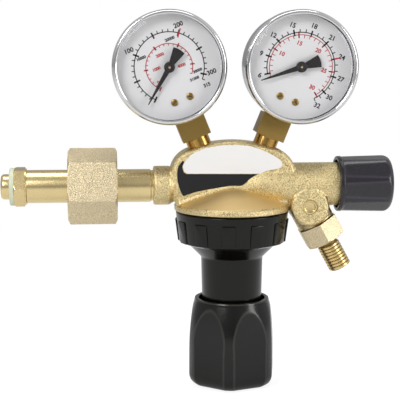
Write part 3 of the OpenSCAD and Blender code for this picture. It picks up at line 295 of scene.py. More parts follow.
@dataclass(frozen=True)
class Finish:
    """A surface finish and how its material is built.

    colour is linear, and the grain's size and depth are in metres. speckle is how strongly the grain lightens and
    darkens the colour with painted glints, spread how far it changes the roughness, and tone how much darker the
    broad clouds are. edge is how much lighter the painted highlight lines are that the mesh marks with its "edge"
    attribute.
    sheen is the specular level, and turned_axis the object's axis along which turning marks follow each other.
    """

    name: str
    slot: str
    colour: Triple
    roughness: float
    metallic: float = 0.0
    grain: Grain = Grain.PLAIN
    grain_size: float = 0.0004
    grain_depth: float = 0.00002
    speckle: float = 0.0
    spread: float = 0.04
    tone: float = 0.08
    edge: float = 0.0
    sheen: float = 0.5
    turned_axis: int = 2

    def material(self) -> bpy.types.Material:
        """Builds the material, or returns the one already built."""
        title = self.name + "_finish"
        known = bpy.data.materials.get(title)
        if known:
            return known
        made, n = new_material(title)
        n.node("ShaderNodeOutputMaterial", Surface=self.surface(n))
        return made

    def surface(self, n: Nodes) -> Expr:
        """Shader of the finish."""
        cloud_scale, patch_scale = 38.0, 220.0
        # dark and light scale the colour for the shaded and lit specks of the painted glints.
        dark, light, share = 0.45, 1.3, 0.6
        where = n.read("ShaderNodeTexCoord", "Object")
        fine = self.fine(n, where)
        clouds = n.clamp(n.noise(where, cloud_scale, 3.0) * 1.6 - 0.3, 0, 1)
        patches = n.noise(where, patch_scale)
        colour = n.mix(clouds, shaded(self.colour, 1 - self.tone * 2), shaded(self.colour))
        # Partly real, partly painted: the blasted grain's speckle, painted in the colour as glints and dark specks.
        if self.speckle:
            glint = n.clamp((fine - 0.5) * 4.0 * self.speckle + 0.5, 0, 1)
            colour = n.mix(glint, n.mix(share, colour, shaded(self.colour, dark)),
                           n.mix(share, colour, shaded(self.colour, light)))
        # Painted highlight: lines that the mesh marks with its "edge" attribute are made lighter.
        if self.edge:
            line = n.read("ShaderNodeAttribute", "Fac", {"attribute_name": "edge"})
            colour = n.mix(line, colour, shaded(self.colour, self.edge))
        rough = n.clamp((fine - 0.5) * self.spread * 2 + (patches - 0.5) * self.spread + self.roughness, 0.03, 1)
        coat = n.node("ShaderNodeBsdfPrincipled", Base_Color=colour, Metallic=self.metallic, Roughness=rough,
                      Specular_IOR_Level=self.sheen)
        if self.grain_depth:
            bump = n.read("ShaderNodeBump", Strength=1.0, Distance=self.grain_depth, Height=fine)
            n.feed(coat.inputs["Normal"], bump)
        return n.out(coat, "BSDF")

    def fine(self, n: Nodes, where: Expr) -> Expr:
        """The finish's fine pattern, between 0 and 1."""
        if self.grain is Grain.TURNED:
            mark, waver_scale, waver = 0.22, 900.0, 0.3
            along = n.split(where)[self.turned_axis]
            turns = n.math("SINE", along * (2 * math.pi / self.grain_size)) * mark + 0.5
            return turns + (n.noise(where, waver_scale, 1.0) - 0.5) * waver
        if self.grain is Grain.BRUSHED:
            stretch = n.read("ShaderNodeMapping", Vector=where, Scale=(1.0, 0.12, 1.0))
            return n.noise(stretch, 1 / self.grain_size, 3.0, 0.7)
        return n.noise(where, 1 / self.grain_size, 2.0, 0.6)


@dataclass(frozen=True)
class ClearFinish(Finish):
    """Clear plastic: see-through, with a reflection that grows towards grazing angles."""

    def surface(self, n: Nodes) -> Expr:
        """Shader of the clear plastic."""
        straight_on, strongest = 0.012, 0.35
        through = n.read("ShaderNodeBsdfTransparent", Color=(0.985, 0.985, 0.99, 1))
        gloss = n.read("ShaderNodeBsdfPrincipled", Base_Color=shaded(self.colour), Roughness=self.roughness,
                       Metallic=self.metallic)
        fresnel = n.read("ShaderNodeFresnel", IOR=1.35)
        front = 1.0 - n.read("ShaderNodeNewGeometry", "Backfacing")
        return n.blend(n.clamp((fresnel - straight_on) * front, 0.0, strongest), through, gloss)


BLASTED = Finish("cast_brass", "cast_brass", (0.735, 0.595, 0.315), 0.34, 1.0, Grain.BLASTED, 0.00055, 0.0003, 2.0,
                 0.26)
RIM = replace(BLASTED, name="blasted_rim", colour=(0.69, 0.555, 0.30), roughness=0.32)
FORGED = Finish("forged_brass", "forged_brass", (0.735, 0.62, 0.405), 0.44, 1.0, Grain.BLASTED, 0.00045, 0.00016, 1.1,
                0.18, 0.05)
POLISHED = Finish("turned_brass", "turned_brass", (0.75, 0.60, 0.31), 0.25, 1.0, Grain.TURNED, 0.00035, 0.000006, 0.0,
                  0.05, turned_axis=0)
CONE = Finish("turned_cone", "turned_brass", (0.80, 0.60, 0.29), 0.55, 1.0, Grain.TURNED, 0.0003, 0.000004, 0.0, 0.03,
              0.04)
THREAD = Finish("thread_brass", "turned_brass", (0.71, 0.535, 0.24), 0.30, 1.0, grain_depth=0.000002, spread=0.06,
                tone=0.06)
# Painted shade: the thread's root between the crests is given a dark brown colour for the shade in its grooves.
ROOT_SHADE = replace(THREAD, name="thread_root", colour=(0.20, 0.12, 0.038), roughness=0.45)
NECK = Finish("bright_neck", "turned_brass", (0.50, 0.285, 0.072), 0.14, 1.0, grain_depth=0.000002, spread=0.03,
              tone=0.04)
DARK_BRASS = Finish("dark_brass", "dark_brass", (0.36, 0.235, 0.07), 0.34, 1.0, Grain.BRUSHED, 0.0003, 0.00001, 0.4,
                    0.12, 0.16)
STEEL = Finish("steel", "steel", (0.50, 0.51, 0.53), 0.30, 1.0, Grain.BRUSHED, 0.0002, 0.000004, 0.0, 0.06, 0.05)
CASE = Finish("plated_case", "plated_steel", (0.60, 0.61, 0.63), 0.24, 1.0, Grain.BRUSHED, 0.0003, 0.000003, 0.0,
              0.05, 0.04)
BEZEL = Finish("bright_bezel", "bright_bezel", (0.68, 0.68, 0.69), 0.12, 1.0, grain_depth=0.000002, spread=0.03,
               tone=0.03)
BRONZE = Finish("bronze", "bronze", (0.42, 0.23, 0.10), 0.45, 1.0, Grain.BLASTED, 0.0003, 0.00003, 0.5, 0.10, 0.10)
COPPER = Finish("copper", "copper", (0.62, 0.28, 0.15), 0.35, 1.0, grain_depth=0.000004, spread=0.06, tone=0.05)
COATED = Finish("black_coating", "black_coating", (0.0028, 0.0026, 0.0018), 0.17, grain_size=0.0009,
                grain_depth=0.000016, spread=0.08, tone=0.10, sheen=0.28)
# PLASTIC and GRIP: edge lightens the marked facet edges and the knob's rim, as painted highlight lines.
PLASTIC = Finish("black_plastic", "black_plastic", (0.0034, 0.0032, 0.0028), 0.20, grain_size=0.0007, spread=0.08,
                 tone=0.10, edge=11.0, sheen=0.36)
GRIP = Finish("valve_plastic", "black_plastic", (0.014, 0.012, 0.017), 0.25, grain_size=0.0007, spread=0.08,
              tone=0.10, edge=2.6, sheen=0.48)
RUBBER = Finish("black_rubber", "black_rubber", (0.01, 0.01, 0.01), 0.65, grain_size=0.0006, spread=0.08, tone=0.10)
SEAL = Finish("seal_plastic", "seal_plastic", (0.60, 0.64, 0.47), 0.42, grain_size=0.0008, grain_depth=0.000008,
              spread=0.05, tone=0.05)
DIAL = Finish("dial_white", "dial_white", (0.72, 0.715, 0.71), 0.50, grain_size=0.0005, grain_depth=0.0, spread=0.03,
              tone=0.01)
INK = Finish("dial_ink", "pointer_black", (0.01, 0.01, 0.012), 0.60, grain_size=0.0005, grain_depth=0.0, spread=0.03,
             tone=0.05)
RED_INK = replace(INK, name="dial_red", colour=(0.50, 0.035, 0.04))
POINTER = Finish("pointer_black", "pointer_black", (0.01, 0.007, 0.007), 0.42, grain_size=0.0005, grain_depth=0.0,
                 tone=0.05)
PLATE_LIGHT = Finish("plate_white", "", (0.80, 0.79, 0.785), 0.45, grain_size=0.0006, grain_depth=0.000002,
                     tone=0.015)
PLATE_DARK = Finish("plate_charcoal", "", (0.011, 0.011, 0.013), 0.36, grain_size=0.0006, grain_depth=0.000002,
                    tone=0.05, sheen=0.3)
WINDOW = ClearFinish("clear_window", "clear_window", (0.90, 0.92, 0.95), 0.05, 1.0)


# ---------------------------------------------------------------- meshes


@dataclass
class Shape:
    """Vertices in millimetres and faces of one closed mesh."""

    points: list[Triple] = field(default_factory=list)
    faces: list[tuple[int, ...]] = field(default_factory=list)

    def add(self, other: "Shape", place: Matrix = Matrix.Identity(4)) -> "Shape":
        """Adds another shape, placed by a matrix, and returns this one."""
        base = len(self.points)
        self.points += [tuple(place @ Vector(p)) for p in other.points]
        self.faces += [tuple(i + base for i in face) for face in other.faces]
        return self


def rounded(corners: Sequence[Sequence[float]], steps: int = 6, closed: bool = False) -> list[Point]:
    """Path with its corners rounded.

    Args:
        corners: (x, y, radius) of each corner, or (x, y) for a sharp one.
        steps: straight pieces in each rounding.
        closed: whether the path returns to its start.

    Returns:
        The points of the path.
    """
    path: list[Point] = []
    count = len(corners)
    for i, (x, y, *more) in enumerate(corners):
        radius = more[0] if more else 0.0
        if radius <= 0 or (not closed and i in (0, count - 1)):
            path.append((x, y))
            continue
        here = Vector((x, y))
        back = Vector(corners[i - 1][:2]) - here
        ahead = Vector(corners[(i + 1) % count][:2]) - here
        half = back.angle(ahead) / 2
        reach = min(radius / math.tan(half), back.length * 0.49, ahead.length * 0.49)
        r = reach * math.tan(half)
        start, end = here + back.normalized() * reach, here + ahead.normalized() * reach
        centre = here + (back.normalized() + ahead.normalized()).normalized() * (r / math.sin(half))
        a, b = start - centre, end - centre
        bend = a.angle_signed(b)
        for k in range(steps + 1):
            spun = a.copy()
            spun.rotate(Matrix.Rotation(-bend * k / steps, 2))
            path.append((centre.x + spun.x, centre.y + spun.y))
    return path


def dense(path: Sequence[Point], step: float) -> list[Point]:
    """Path with its long straight pieces divided."""
    out: list[Point] = [path[0]]
    for a, b in zip(path, path[1:]):
        count = max(1, math.ceil(math.hypot(b[0] - a[0], b[1] - a[1]) / step))
        out += [(a[0] + (b[0] - a[0]) * k / count, a[1] + (b[1] - a[1]) * k / count) for k in range(1, count + 1)]
    return out


def arc(radius: float, start: float, end: float, steps: int) -> list[Point]:
    """Points on a circle round the origin between two angles in radians."""
    angles = [start + (end - start) * i / steps for i in range(steps + 1)]
    return [(radius * math.cos(a), radius * math.sin(a)) for a in angles]


def lathe(path: Sequence[Point], segments: int = 128, closed: bool = False, start: float = 0.0) -> Shape:
    """Turned shape round Z.

    Args:
        path: (radius, height) points; the ends lie on the axis unless the path is closed.
        segments: steps round the axis.
        closed: whether the path is a ring's cross-section.
        start: angle in degrees of the first step.

    Returns:
        The closed shape.
    """
    made = Shape()
    rows: list[list[int]] = []
    for r, z in path:
        base = len(made.points)
        if r < 1e-6:
            made.points.append((0.0, 0.0, z))
            rows.append([base] * segments)
            continue
        for k in range(segments):
            a = math.radians(start) + 2 * math.pi * k / segments
            made.points.append((r * math.cos(a), r * math.sin(a), z))
        rows.append(list(range(base, base + segments)))
    for low, high in list(zip(rows, rows[1:])) + ([(rows[-1], rows[0])] if closed else []):
        for k in range(segments):
            m = (k + 1) % segments
            face = [low[k], low[m], high[m], high[k]]
            kept = [v for i, v in enumerate(face) if v not in face[:i]]
            if len(kept) > 2:
                made.faces.append(tuple(kept))
    return made


def loft(rings: Sequence[Sequence[Triple]]) -> Shape:
    """Closed shape through rings of equal counts, with both ends capped."""
    count, last = len(rings[0]), len(rings) - 1
    made = Shape([tuple(p) for ring in rings for p in ring])
    for i in range(last):
        for k in range(count):
            m = (k + 1) % count
            made.faces.append((i * count + k, i * count + m, (i + 1) * count + m, (i + 1) * count + k))
    made.faces += [tuple(range(count - 1, -1, -1)), tuple(range(last * count, (last + 1) * count))]
    return made


def prism(outline: Sequence[Point], low: float, high: float) -> Shape:
    """Straight prism on an outline in XY, between two heights."""
    return loft([[(x, y, z) for x, y in outline] for z in (low, high)])


def block(low: Triple, high: Triple) -> Shape:
    """Box between two corners."""
    return prism([(low[0], low[1]), (high[0], low[1]), (high[0], high[1]), (low[0], high[1])], low[2], high[2])


def new_object(name: str, data: Any) -> bpy.types.Object:
    """New object in the scene."""
    made = bpy.data.objects.new(name, data)
    bpy.context.scene.collection.objects.link(made)
    return made


class Maker:
    """Turns shapes into finished objects and says which body each rides on."""

    def __init__(self) -> None:
        """Starts with no pieces."""
        self.count = 0

    def mesh(self, name: str, shape: Shape, place: Matrix = Matrix.Identity(4)) -> bpy.types.Object:
        """Object with a shape's mesh, placed in the shared frame in metres."""
        data = bpy.data.meshes.new(name)
        matrix = Matrix.Scale(MM, 4) @ place
        data.from_pydata([tuple(matrix @ Vector(p)) for p in shape.points], [], shape.faces)
        self.settle(data)
        return new_object(name, data)

    def settle(self, data: bpy.types.Mesh) -> None:
        """Merges doubles, turns all faces outwards and shades smooth up to the smoothing angle."""
        work = bmesh.new()
        work.from_mesh(data)
        bmesh.ops.remove_doubles(work, verts=work.verts, dist=1e-7)
        bmesh.ops.recalc_face_normals(work, faces=work.faces)
        work.to_mesh(data)
        work.free()
        data.shade_smooth()
        data.set_sharp_from_angle(angle=math.radians(SMOOTH_ANGLE))

    def move(self, made: bpy.types.Object, place: Matrix) -> None:
        """Moves an object's mesh to a frame given in millimetres."""
        made.data.transform(in_metres(place))
        self.settle(made.data)

    def bake(self, made: bpy.types.Object, name: str) -> bpy.types.Object:
        """Replaces an object by the plain mesh of its evaluated modifiers."""
        graph = bpy.context.evaluated_depsgraph_get()
        data = bpy.data.meshes.new_from_object(made.evaluated_get(graph), depsgraph=graph)
        bpy.data.objects.remove(made)
        data.name = name
        return new_object(name, data)

    def finish(self, made: bpy.types.Object, finish: Finish, body: str, *nodes: str,
               slot: Optional[str] = None) -> bpy.types.Object:
        """Gives a piece its finish and its body, and hides the imported nodes that it stands for."""
        made.data.materials.clear()
        made.data.materials.append(finish.material())
        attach(made, body)
        if nodes:
            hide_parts(*nodes)
        if slot or finish.slot:
            slot or finish.slot
        self.count += 1
        log.info("%s: %d faces on %s", made.name, len(made.data.polygons), body)
        return made


# ---------------------------------------------------------------- geometry trees


class GeometryTree:
    """A Geometry Nodes group with named inputs that is applied to an object once."""

    def __init__(self, name: str, numbers: Sequence[str], whole: Sequence[str] = ()) -> None:
        """Starts a group.

        Args:
            name: the group's name.
            numbers: names of its number inputs.
            whole: names of its whole-number inputs, which come before those.
        """
        self.group = bpy.data.node_groups.new(name, "GeometryNodeTree")
        face = self.group.interface
        kinds = {"Geometry": "NodeSocketGeometry", **dict.fromkeys(whole, "NodeSocketInt"),
                 **dict.fromkeys(numbers, "NodeSocketFloat"), "Finish": "NodeSocketMaterial"}
        for label, socket_type in kinds.items():
            face.new_socket(name=label, in_out="INPUT", socket_type=socket_type)
        face.new_socket(name="Geometry", in_out="OUTPUT", socket_type="NodeSocketGeometry")
        self.n = Nodes(self.group)
        self.start = self.n.node("NodeGroupInput")

    def value(self, name: str) -> Expr:
        """A named input as an expression."""
        return self.n.out(self.start, name)

    def close(self, geometry: Expr) -> None:
        """Ends the tree in Realize Instances and Set Material."""
        real = self.n.read("GeometryNodeRealizeInstances", Geometry=geometry)
        coat = self.n.read("GeometryNodeSetMaterial", Geometry=real, Material=self.value("Finish"))
        self.n.node("NodeGroupOutput", Geometry=coat)

    def apply(self, maker: Maker, made: bpy.types.Object, name: str, finish: Finish,
              **values: float) -> bpy.types.Object:
        """Runs the tree on an object and returns the plain mesh that it makes."""
        modifier = made.modifiers.new("shape", "NODES")
        modifier.node_group = self.group
        given = {"Finish": finish.material(), **values}
        for item in self.group.interface.items_tree:
            if item.in_out == "INPUT" and item.name in given:
                modifier[item.identifier] = given[item.name]
        return maker.bake(made, name)


class RingOfCopies(GeometryTree):
    """Copies its geometry round the Z axis at even steps."""

    def __init__(self) -> None:
        """Builds the tree."""
        super().__init__("ring_of_copies", ("First", "Step"), ("Count",))
        n = self.n
        row = n.read("GeometryNodeMeshLine", 0, {"mode": "OFFSET"}, Count=self.value("Count"), Offset=(0.0, 0.0, 0.0))
        angle = n.read("GeometryNodeInputIndex") * self.value("Step") + self.value("First")
        spin = n.read("ShaderNodeCombineXYZ", Z=angle)
        self.close(n.read("GeometryNodeInstanceOnPoints", Points=row, Instance=self.value("Geometry"), Rotation=spin))


@dataclass(frozen=True)
class Facets:
    """Flat facets round a turned shape. Lengths are in millimetres, and heights along its axis.

    turn is the angle of a facet's middle in degrees, reach the facets' distance from the axis at height 0, lean its
    growth with height and cap its greatest value. softness rounds their edges, and line is half the width of the
    painted highlight lines marked there. Facets lie between the heights start and end. Below foot, the rounding of a
    shape whose radius is wide follows its facets.
    """

    count: float
    turn: float
    reach: float
    lean: float = 0.0
    softness: float = 0.3
    line: float = 0.3
    start: float = -FAR
    end: float = FAR
    foot: float = -FAR
    wide: float = 0.0
    cap: float = FAR

    def inputs(self) -> dict[str, float]:
        """Values for the tree's inputs, in metres and radians."""
        units = {"count": 1.0, "turn": math.pi / 180, "lean": 1.0}
        return {item.name.title(): value * units.get(item.name, MM)
                for item, value in zip(fields(self), astuple(self))}


class GripFacets(GeometryTree):
    """Cuts flat facets with soft edges into a turned shape on the Z axis, and marks painted highlights on their edges
    and above them.
    """

    def __init__(self) -> None:
        """Builds the tree."""
        super().__init__("grip_facets", [item.name.title() for item in fields(Facets)])
        n, value = self.n, self.value
        bend, lip_highlight = 0.0015, 0.8
        x, y, z = n.split(n.read("GeometryNodeInputPosition"))
        r = n.math("SQRT", x * x + y * y)
        step = 2 * math.pi / value("Count")
        offset = n.math("WRAP", n.math("ARCTAN2", y, x) - value("Turn"), step * 0.5, step * -0.5)
        flat = n.math("SMOOTH_MIN", value("Reach") + z * value("Lean"), value("Cap"), bend)
        limit = flat / n.math("COSINE", offset)
        full = n.math("MAXIMUM", r, n.math("LESS_THAN", z, value("Foot")) * value("Wide"))
        cut = n.math("SMOOTH_MIN", full, limit, value("Softness"))
        inside = n.math("GREATER_THAN", z, value("Start")) * n.math("LESS_THAN", z, value("End"))
        share = (cut / n.math("MAXIMUM", full, 1e-6) - 1.0) * inside + 1.0
        # Painted highlight marks: a line along each facet edge, and the rim above the facets.
        gap = n.math("ABSOLUTE", limit - full) / value("Line")
        lip = n.math("GREATER_THAN", z, value("End")) * lip_highlight
        near = n.math("MAXIMUM", n.clamp(1.0 - gap, 0.0, 1.0) * inside, lip)
        place = n.read("ShaderNodeCombineXYZ", X=x * share, Y=y * share, Z=z)
        marked = n.read("GeometryNodeStoreNamedAttribute", 0, {"data_type": "FLOAT"}, Geometry=value("Geometry"),
                        Name="edge", Value=near)
        self.close(n.read("GeometryNodeSetPosition", Geometry=marked, Position=place))


class HelicalThread(GeometryTree):
    """Sweeps a thread crest along a helix round the Z axis."""

    def __init__(self) -> None:
        """Builds the tree."""
        super().__init__("helical_thread", ("Radius", "Pitch", "Length", "Depth"))
        n, value = self.n, self.value
        crest_share = 0.27
        helix = n.read("GeometryNodeCurveSpiral", Resolution=64, Rotations=value("Length") / value("Pitch"),
                       Start_Radius=value("Radius"), End_Radius=value("Radius"), Height=value("Length"))
        flat = n.read("GeometryNodeSetCurveNormal", 0, {"mode": "Z_UP"}, Curve=helix)
        ring = n.read("GeometryNodeCurvePrimitiveCircle", Resolution=8, Radius=1.0)
        x, y, _ = n.split(n.read("GeometryNodeInputPosition"))
        wide = n.read("ShaderNodeCombineXYZ", X=x * value("Pitch") * crest_share, Y=y * value("Depth"))
        outline = n.read("GeometryNodeSetPosition", Geometry=ring, Position=wide)
        self.close(n.read("GeometryNodeCurveToMesh", Curve=flat, Profile_Curve=outline, Fill_Caps=True))


# ---------------------------------------------------------------- sub-assemblies


@dataclass
class Assembly:
    """What every sub-assembly needs: the maker, the frame and the shared trees."""

    maker: Maker
    frame: dict[str, Any]
    ring: RingOfCopies
    facets: GripFacets

    def turned(self, name: str, path: Sequence[Point], place: Matrix, finish: Finish, *nodes: str,
               segments: int = 144, closed: bool = False) -> None:
        """Piece of the regulator that is turned round its frame's Z axis."""
        self.piece(name, lathe(path, segments, closed), place, finish, "regulator", *nodes)

    def facetted(self, name: str, path: Sequence[Point], place: Matrix, facets: Facets, finish: Finish, body: str,
                 node: str, segments: int = 240, closed: bool = False) -> None:
        """Turned piece with facets, worked on its own axis and then placed.

        Args:
            name: the piece's name.
            path: (radius, height) of the turned shape.
            place: the piece's frame.
            facets: the facets.
            finish: the piece's finish.
            body: the body that it rides on.
            node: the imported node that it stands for.
            segments: steps round the axis.
            closed: whether the path is a ring's cross-section.
        """
        raw = self.maker.mesh(name + "_raw", lathe(path, segments, closed, facets.turn + 180.0 / facets.count))
        made = self.facets.apply(self.maker, raw, name, finish, **facets.inputs())
        self.maker.move(made, place)
        self.maker.finish(made, finish, body, node)

    def piece(self, name: str, shape: Shape, place: Matrix, finish: Finish, body: str = "regulator", *nodes: str,
              slot: Optional[str] = None) -> None:
        """Piece with a shape's plain mesh."""
        self.maker.finish(self.maker.mesh(name, shape, place), finish, body, *nodes, slot=slot)

    def dress(self, finish: Finish, *nodes: str) -> None:
        """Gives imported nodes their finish."""
        for node in nodes:
            materials = self.frame["nodes"][node].data.materials
            materials.clear()
            materials.append(finish.material())

    def refined(self, node: str, name: str, finish: Finish, bevel: float = 0.0) -> bpy.types.Object:
        """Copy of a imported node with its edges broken.

        Args:
            node: the node's name.
            name: the new piece's name.
            finish: the new piece's finish.
            bevel: width of the broken edges, or 0 for none.

        Returns:
            The new object.
        """
        flat_angle, edge_angle, merge = 0.8, 25.0, 2e-6
        data = self.frame["nodes"][node].data.copy()
        data.name = name
        work = bmesh.new()
        work.from_mesh(data)
        bmesh.ops.remove_doubles(work, verts=work.verts, dist=merge)
        if bevel:
            bmesh.ops.dissolve_limit(work, angle_limit=math.radians(flat_angle), verts=work.verts, edges=work.edges)
            edges = [e for e in work.edges if e.is_manifold and e.calc_face_angle(0.0) > math.radians(edge_angle)]
            bmesh.ops.bevel(work, geom=edges, offset=bevel * MM, segments=2, profile=0.6, affect="EDGES",
                            clamp_overlap=True)
        work.to_mesh(data)
        work.free()
        self.maker.settle(data)
        return self.maker.finish(new_object(name, data), finish, "regulator", node)


@dataclass
class Inlet(Assembly):
    """Nipple, seal, tube, union nut and what is inside them."""

    spigot_r: float = 6.8
    spigot_len: float = 4.6
    spigot_bore: float = 3.0
    groove: float = 0.4
    seal_r: float = 10.2
    seal_t: float = 2.7
    seal_sink: float = 0.1
    seal_gap: float = 0.05
    hex_half: float = 9.8
    hex_corner: float = 11.32
    hex_end: float = 8.2
    tube_x: float = 9.1
    tube_end: float = 75.4
    tube_r: float = 8.9
    tube_bore: float = 4.0
    tail_r: float = 8.3
    tail_x: float = 86.5
    nut_x: float = 31.2
    nut_len: float = 26.4
    nut_half: float = 18.0
    nut_turn: float = 16.4
    nut_bore_r: float = 12.06
    nut_floor: float = 20.4
    nut_hole_r: float = 9.2
    nut_chamfer: Point = (2.2, 1.1)

    def build(self) -> None:
        """Makes and dresses the inlet's pieces."""
        bore, seal, groove_r = self.spigot_bore, self.seal_t, self.spigot_r - self.groove
        spigot = rounded([(bore, 0), (bore, -self.spigot_len, 0.3), (self.spigot_r, -self.spigot_len, 2.0),
                          (self.spigot_r, 0), (groove_r, 0), (groove_r, seal), (bore, seal)], closed=True)
        self.turned("inlet_spigot", spigot, along_x(0), POLISHED, closed=True)
        hexagon = rounded([(bore, seal), (self.hex_corner - 0.92, seal, 0.25), (self.hex_corner, seal + 0.9, 0.2),
                           (self.hex_corner, self.hex_end, 0.25), (self.hex_half, self.hex_end + 0.15, 0.1),
                           (self.hex_half, self.tube_x, 0.25), (bore, self.tube_x)])
        self.facetted("inlet_collar", [(0.0, seal), *dense(hexagon[1:-1], 0.5), (0.0, self.tube_x)], along_x(0),
                      Facets(6, 3.0, self.hex_half, softness=0.25), POLISHED, "regulator", "inlet_nipple")
        inner = groove_r + self.seal_gap
        ring = rounded([(inner, self.seal_sink, 0.1), (self.seal_r, self.seal_sink, 0.7), (self.seal_r, seal, 0.5),
                        (inner, seal, 0.1)], closed=True)
        self.turned("inlet_seal_ring", ring, along_x(0), SEAL, "inlet_seal", closed=True)
        tube = rounded([(self.tube_bore, self.tube_x), (self.tube_r, self.tube_x, 0.35),
                        (self.tube_r, self.tube_end, 0.2), (self.tail_r, self.tube_end + 0.3, 0.2),
                        (self.tail_r, self.tail_x), (self.tube_bore, self.tail_x)], closed=True)
        self.turned("inlet_tube", tube, along_x(0), POLISHED, "inlet_stem", closed=True)
        self.nut()
        self.dress(BRONZE, "inlet_filter")
        self.dress(STEEL, "nut_thrust_ring")

    def nut(self) -> None:
        """Makes the union nut with its chamfers, bore and floor."""
        corner = self.nut_half / math.cos(math.radians(30)) + 0.02
        face_r, edge = corner - 0.02 - self.nut_chamfer[0], self.nut_chamfer[1]
        outer = rounded([(self.nut_bore_r + 0.84, 0, 0.2), (face_r, 0, 0.3), (corner, edge, 0.5),
                         (corner, self.nut_len - edge, 0.5), (face_r, self.nut_len, 0.3),
                         (self.nut_hole_r, self.nut_len, 0.3), (self.nut_hole_r, self.nut_floor),
                         (self.nut_bore_r, self.nut_floor, 0.2), (self.nut_bore_r, 1.4, 0.1)], 4, True)
        self.facetted("union_nut_forged", dense(outer + [outer[0]], 1.0)[:-1], along_x(self.nut_x),
                      Facets(6, self.nut_turn, self.nut_half, softness=0.35, line=0.2), FORGED, "nut", "union_nut",
                      closed=True)


@dataclass
class Body(Assembly):
    """Forged body, turned base and the two-tone plate on its front."""

    half_w: float = 34.0
    top: float = 24.2
    arc_r: float = 69.6
    corner_r: float = 15.0
    face_y: float = 9.0
    bevel: float = 1.6
    flange_r: float = 31.5
    flange_z: float = -13.35
    flange_h: float = 3.5
    flange_edge: float = 0.9
    cone_h: float = 9.8
    cone_r: float = 6.0
    arm_r: float = 11.8
    arm_end: float = 179.0
    nose_x: float = 124.0
    nose_len: float = 16.0
    nose_sink: float = 0.6
    boss_x: float = 77.0
    boss_r: float = 10.6
    knuckle_r: float = 10.4
    knuckle_front: float = 12.4
    plug_bore_r: float = 4.05
    skirt_r: float = 27.2
    skirt_len: float = 7.4
    bead_half: Point = (0.95, 1.05)
    bead_reach: float = 29.4
    bead_rise: float = 0.35
    voxel: float = 0.45

    def outline(self, inset: float) -> list[Point]:
        """Dome outline in X and Z, from the right foot over the top to the left foot."""
        corner_x = self.half_w - self.corner_r
        centre = self.top - self.arc_r
        corner_z = centre + math.sqrt((self.arc_r - self.corner_r) ** 2 - corner_x ** 2)
        foot_x, foot_z = self.flange_r - self.flange_edge, self.flange_z + self.flange_h
        rise = Vector((corner_x - foot_x, corner_z - foot_z))
        lean = math.atan2(rise.x, rise.y) + math.asin(self.corner_r / rise.length)
        split = math.pi / 2 - math.atan2(corner_x, corner_z - centre)
        right = [(foot_x - inset / math.cos(lean), foot_z - 2.0)]
        right += [(corner_x + x, corner_z + z) for x, z in arc(self.corner_r - inset, -lean, split, 12)]
        right += [(x, centre + z) for x, z in arc(self.arc_r - inset, split, math.pi / 2, 12)[1:]]
        return right + [(-x, z) for x, z in reversed(right[:-1])]

    def blank(self) -> Shape:
        """The forging's solids, overlapping."""
        face, bevel, boss, stem = self.face_y, self.bevel, self.boss_x, self.knuckle_r
        rings = [[(AXIS_X + x, y, z) for x, z in self.outline(inset)]
                 for y, inset in ((-face, bevel), (bevel - face, 0.0), (face - bevel, 0.0), (face, bevel))]
        made = loft(rings)
        made.add(lathe([(0, boss), (self.boss_r - 0.5, boss), (self.boss_r, boss + 0.5), (self.boss_r, boss + 8.5),
                        (self.boss_r - 2.4, boss + 12.0), (0, boss + 12.0)], 64), along_x(0))
        nose_r = face - self.nose_sink
        swell = [(nose_r + (self.arm_r - nose_r) * math.sin(math.pi / 2 * i / 12), self.nose_len * i / 12)
                 for i in range(13)]
        length = self.arm_end - self.nose_x
        made.add(lathe([(0, 0), *swell, (self.arm_r, length - 0.8), (self.arm_r - 0.8, length), (0, length)], 96),
                 along_x(self.nose_x))
        made.add(lathe([(0, KNUCKLE_S), (stem, KNUCKLE_S), (stem, OUTLET_FACE_S), (0, OUTLET_FACE_S)], 96),
                 along_outlet(0))
        made.add(lathe([(0, -stem), (stem, -stem), (stem, self.knuckle_front - 1.2), (stem - 1.1, self.knuckle_front),
                        (0, self.knuckle_front)], 96), across_knuckle())
        return made.add(self.arch_bead(-1)).add(self.arch_bead(1))

    def arch_bead(self, face: int) -> Shape:
        """Rounded lip where a flat face meets the turned cone."""
        foot_r = self.flange_r - self.flange_edge
        slope = self.cone_h / (foot_r - self.cone_r)
        across, along_up = self.bead_half
        y = self.face_y - self.bead_rise
        rings = []
        for i in range(61):
            x = self.bead_reach * (i / 30 - 1)
            r = math.hypot(x, y)
            z = self.flange_z + self.flange_h + (foot_r - r) * slope + self.bead_rise
            side = Vector((0.0, 1.0, 0.0))
            up = Vector((1.0, 0.0, -slope * x / r)).normalized().cross(side)
            centre = Vector((AXIS_X + x, face * y, z))
            rings.append([tuple(centre + side * (across * math.cos(a)) + up * (along_up * math.sin(a)))
                          for a in (2 * math.pi * k / 12 for k in range(12))])
        return loft(rings)

    def forging(self) -> bpy.types.Object:
        """The forged middle as one smooth blend of its solids, with the plug's bore."""
        raw = self.maker.mesh("forging_raw", self.blank())
        remesh = raw.modifiers.new("blend", "REMESH")
        remesh.mode, remesh.voxel_size = "VOXEL", self.voxel * MM
        soft = raw.modifiers.new("soften", "SMOOTH")
        soft.factor, soft.iterations = 0.5, 7
        blended = self.maker.bake(raw, "forging_blend")
        bore, past = self.plug_bore_r, self.knuckle_front + 1.6
        drill = self.maker.mesh("plug_bore", lathe([(0, PLUG_LOW), (bore, PLUG_LOW), (bore, past), (0, past)], 64),
                                across_knuckle())
        cut = blended.modifiers.new("bore", "BOOLEAN")
        cut.operation, cut.object, cut.solver = "DIFFERENCE", drill, "EXACT"
        made = self.maker.bake(blended, "body_forging")
        bpy.data.objects.remove(drill)
        made.data.shade_smooth()
        made.data.set_sharp_from_angle(angle=math.radians(50))
        return made

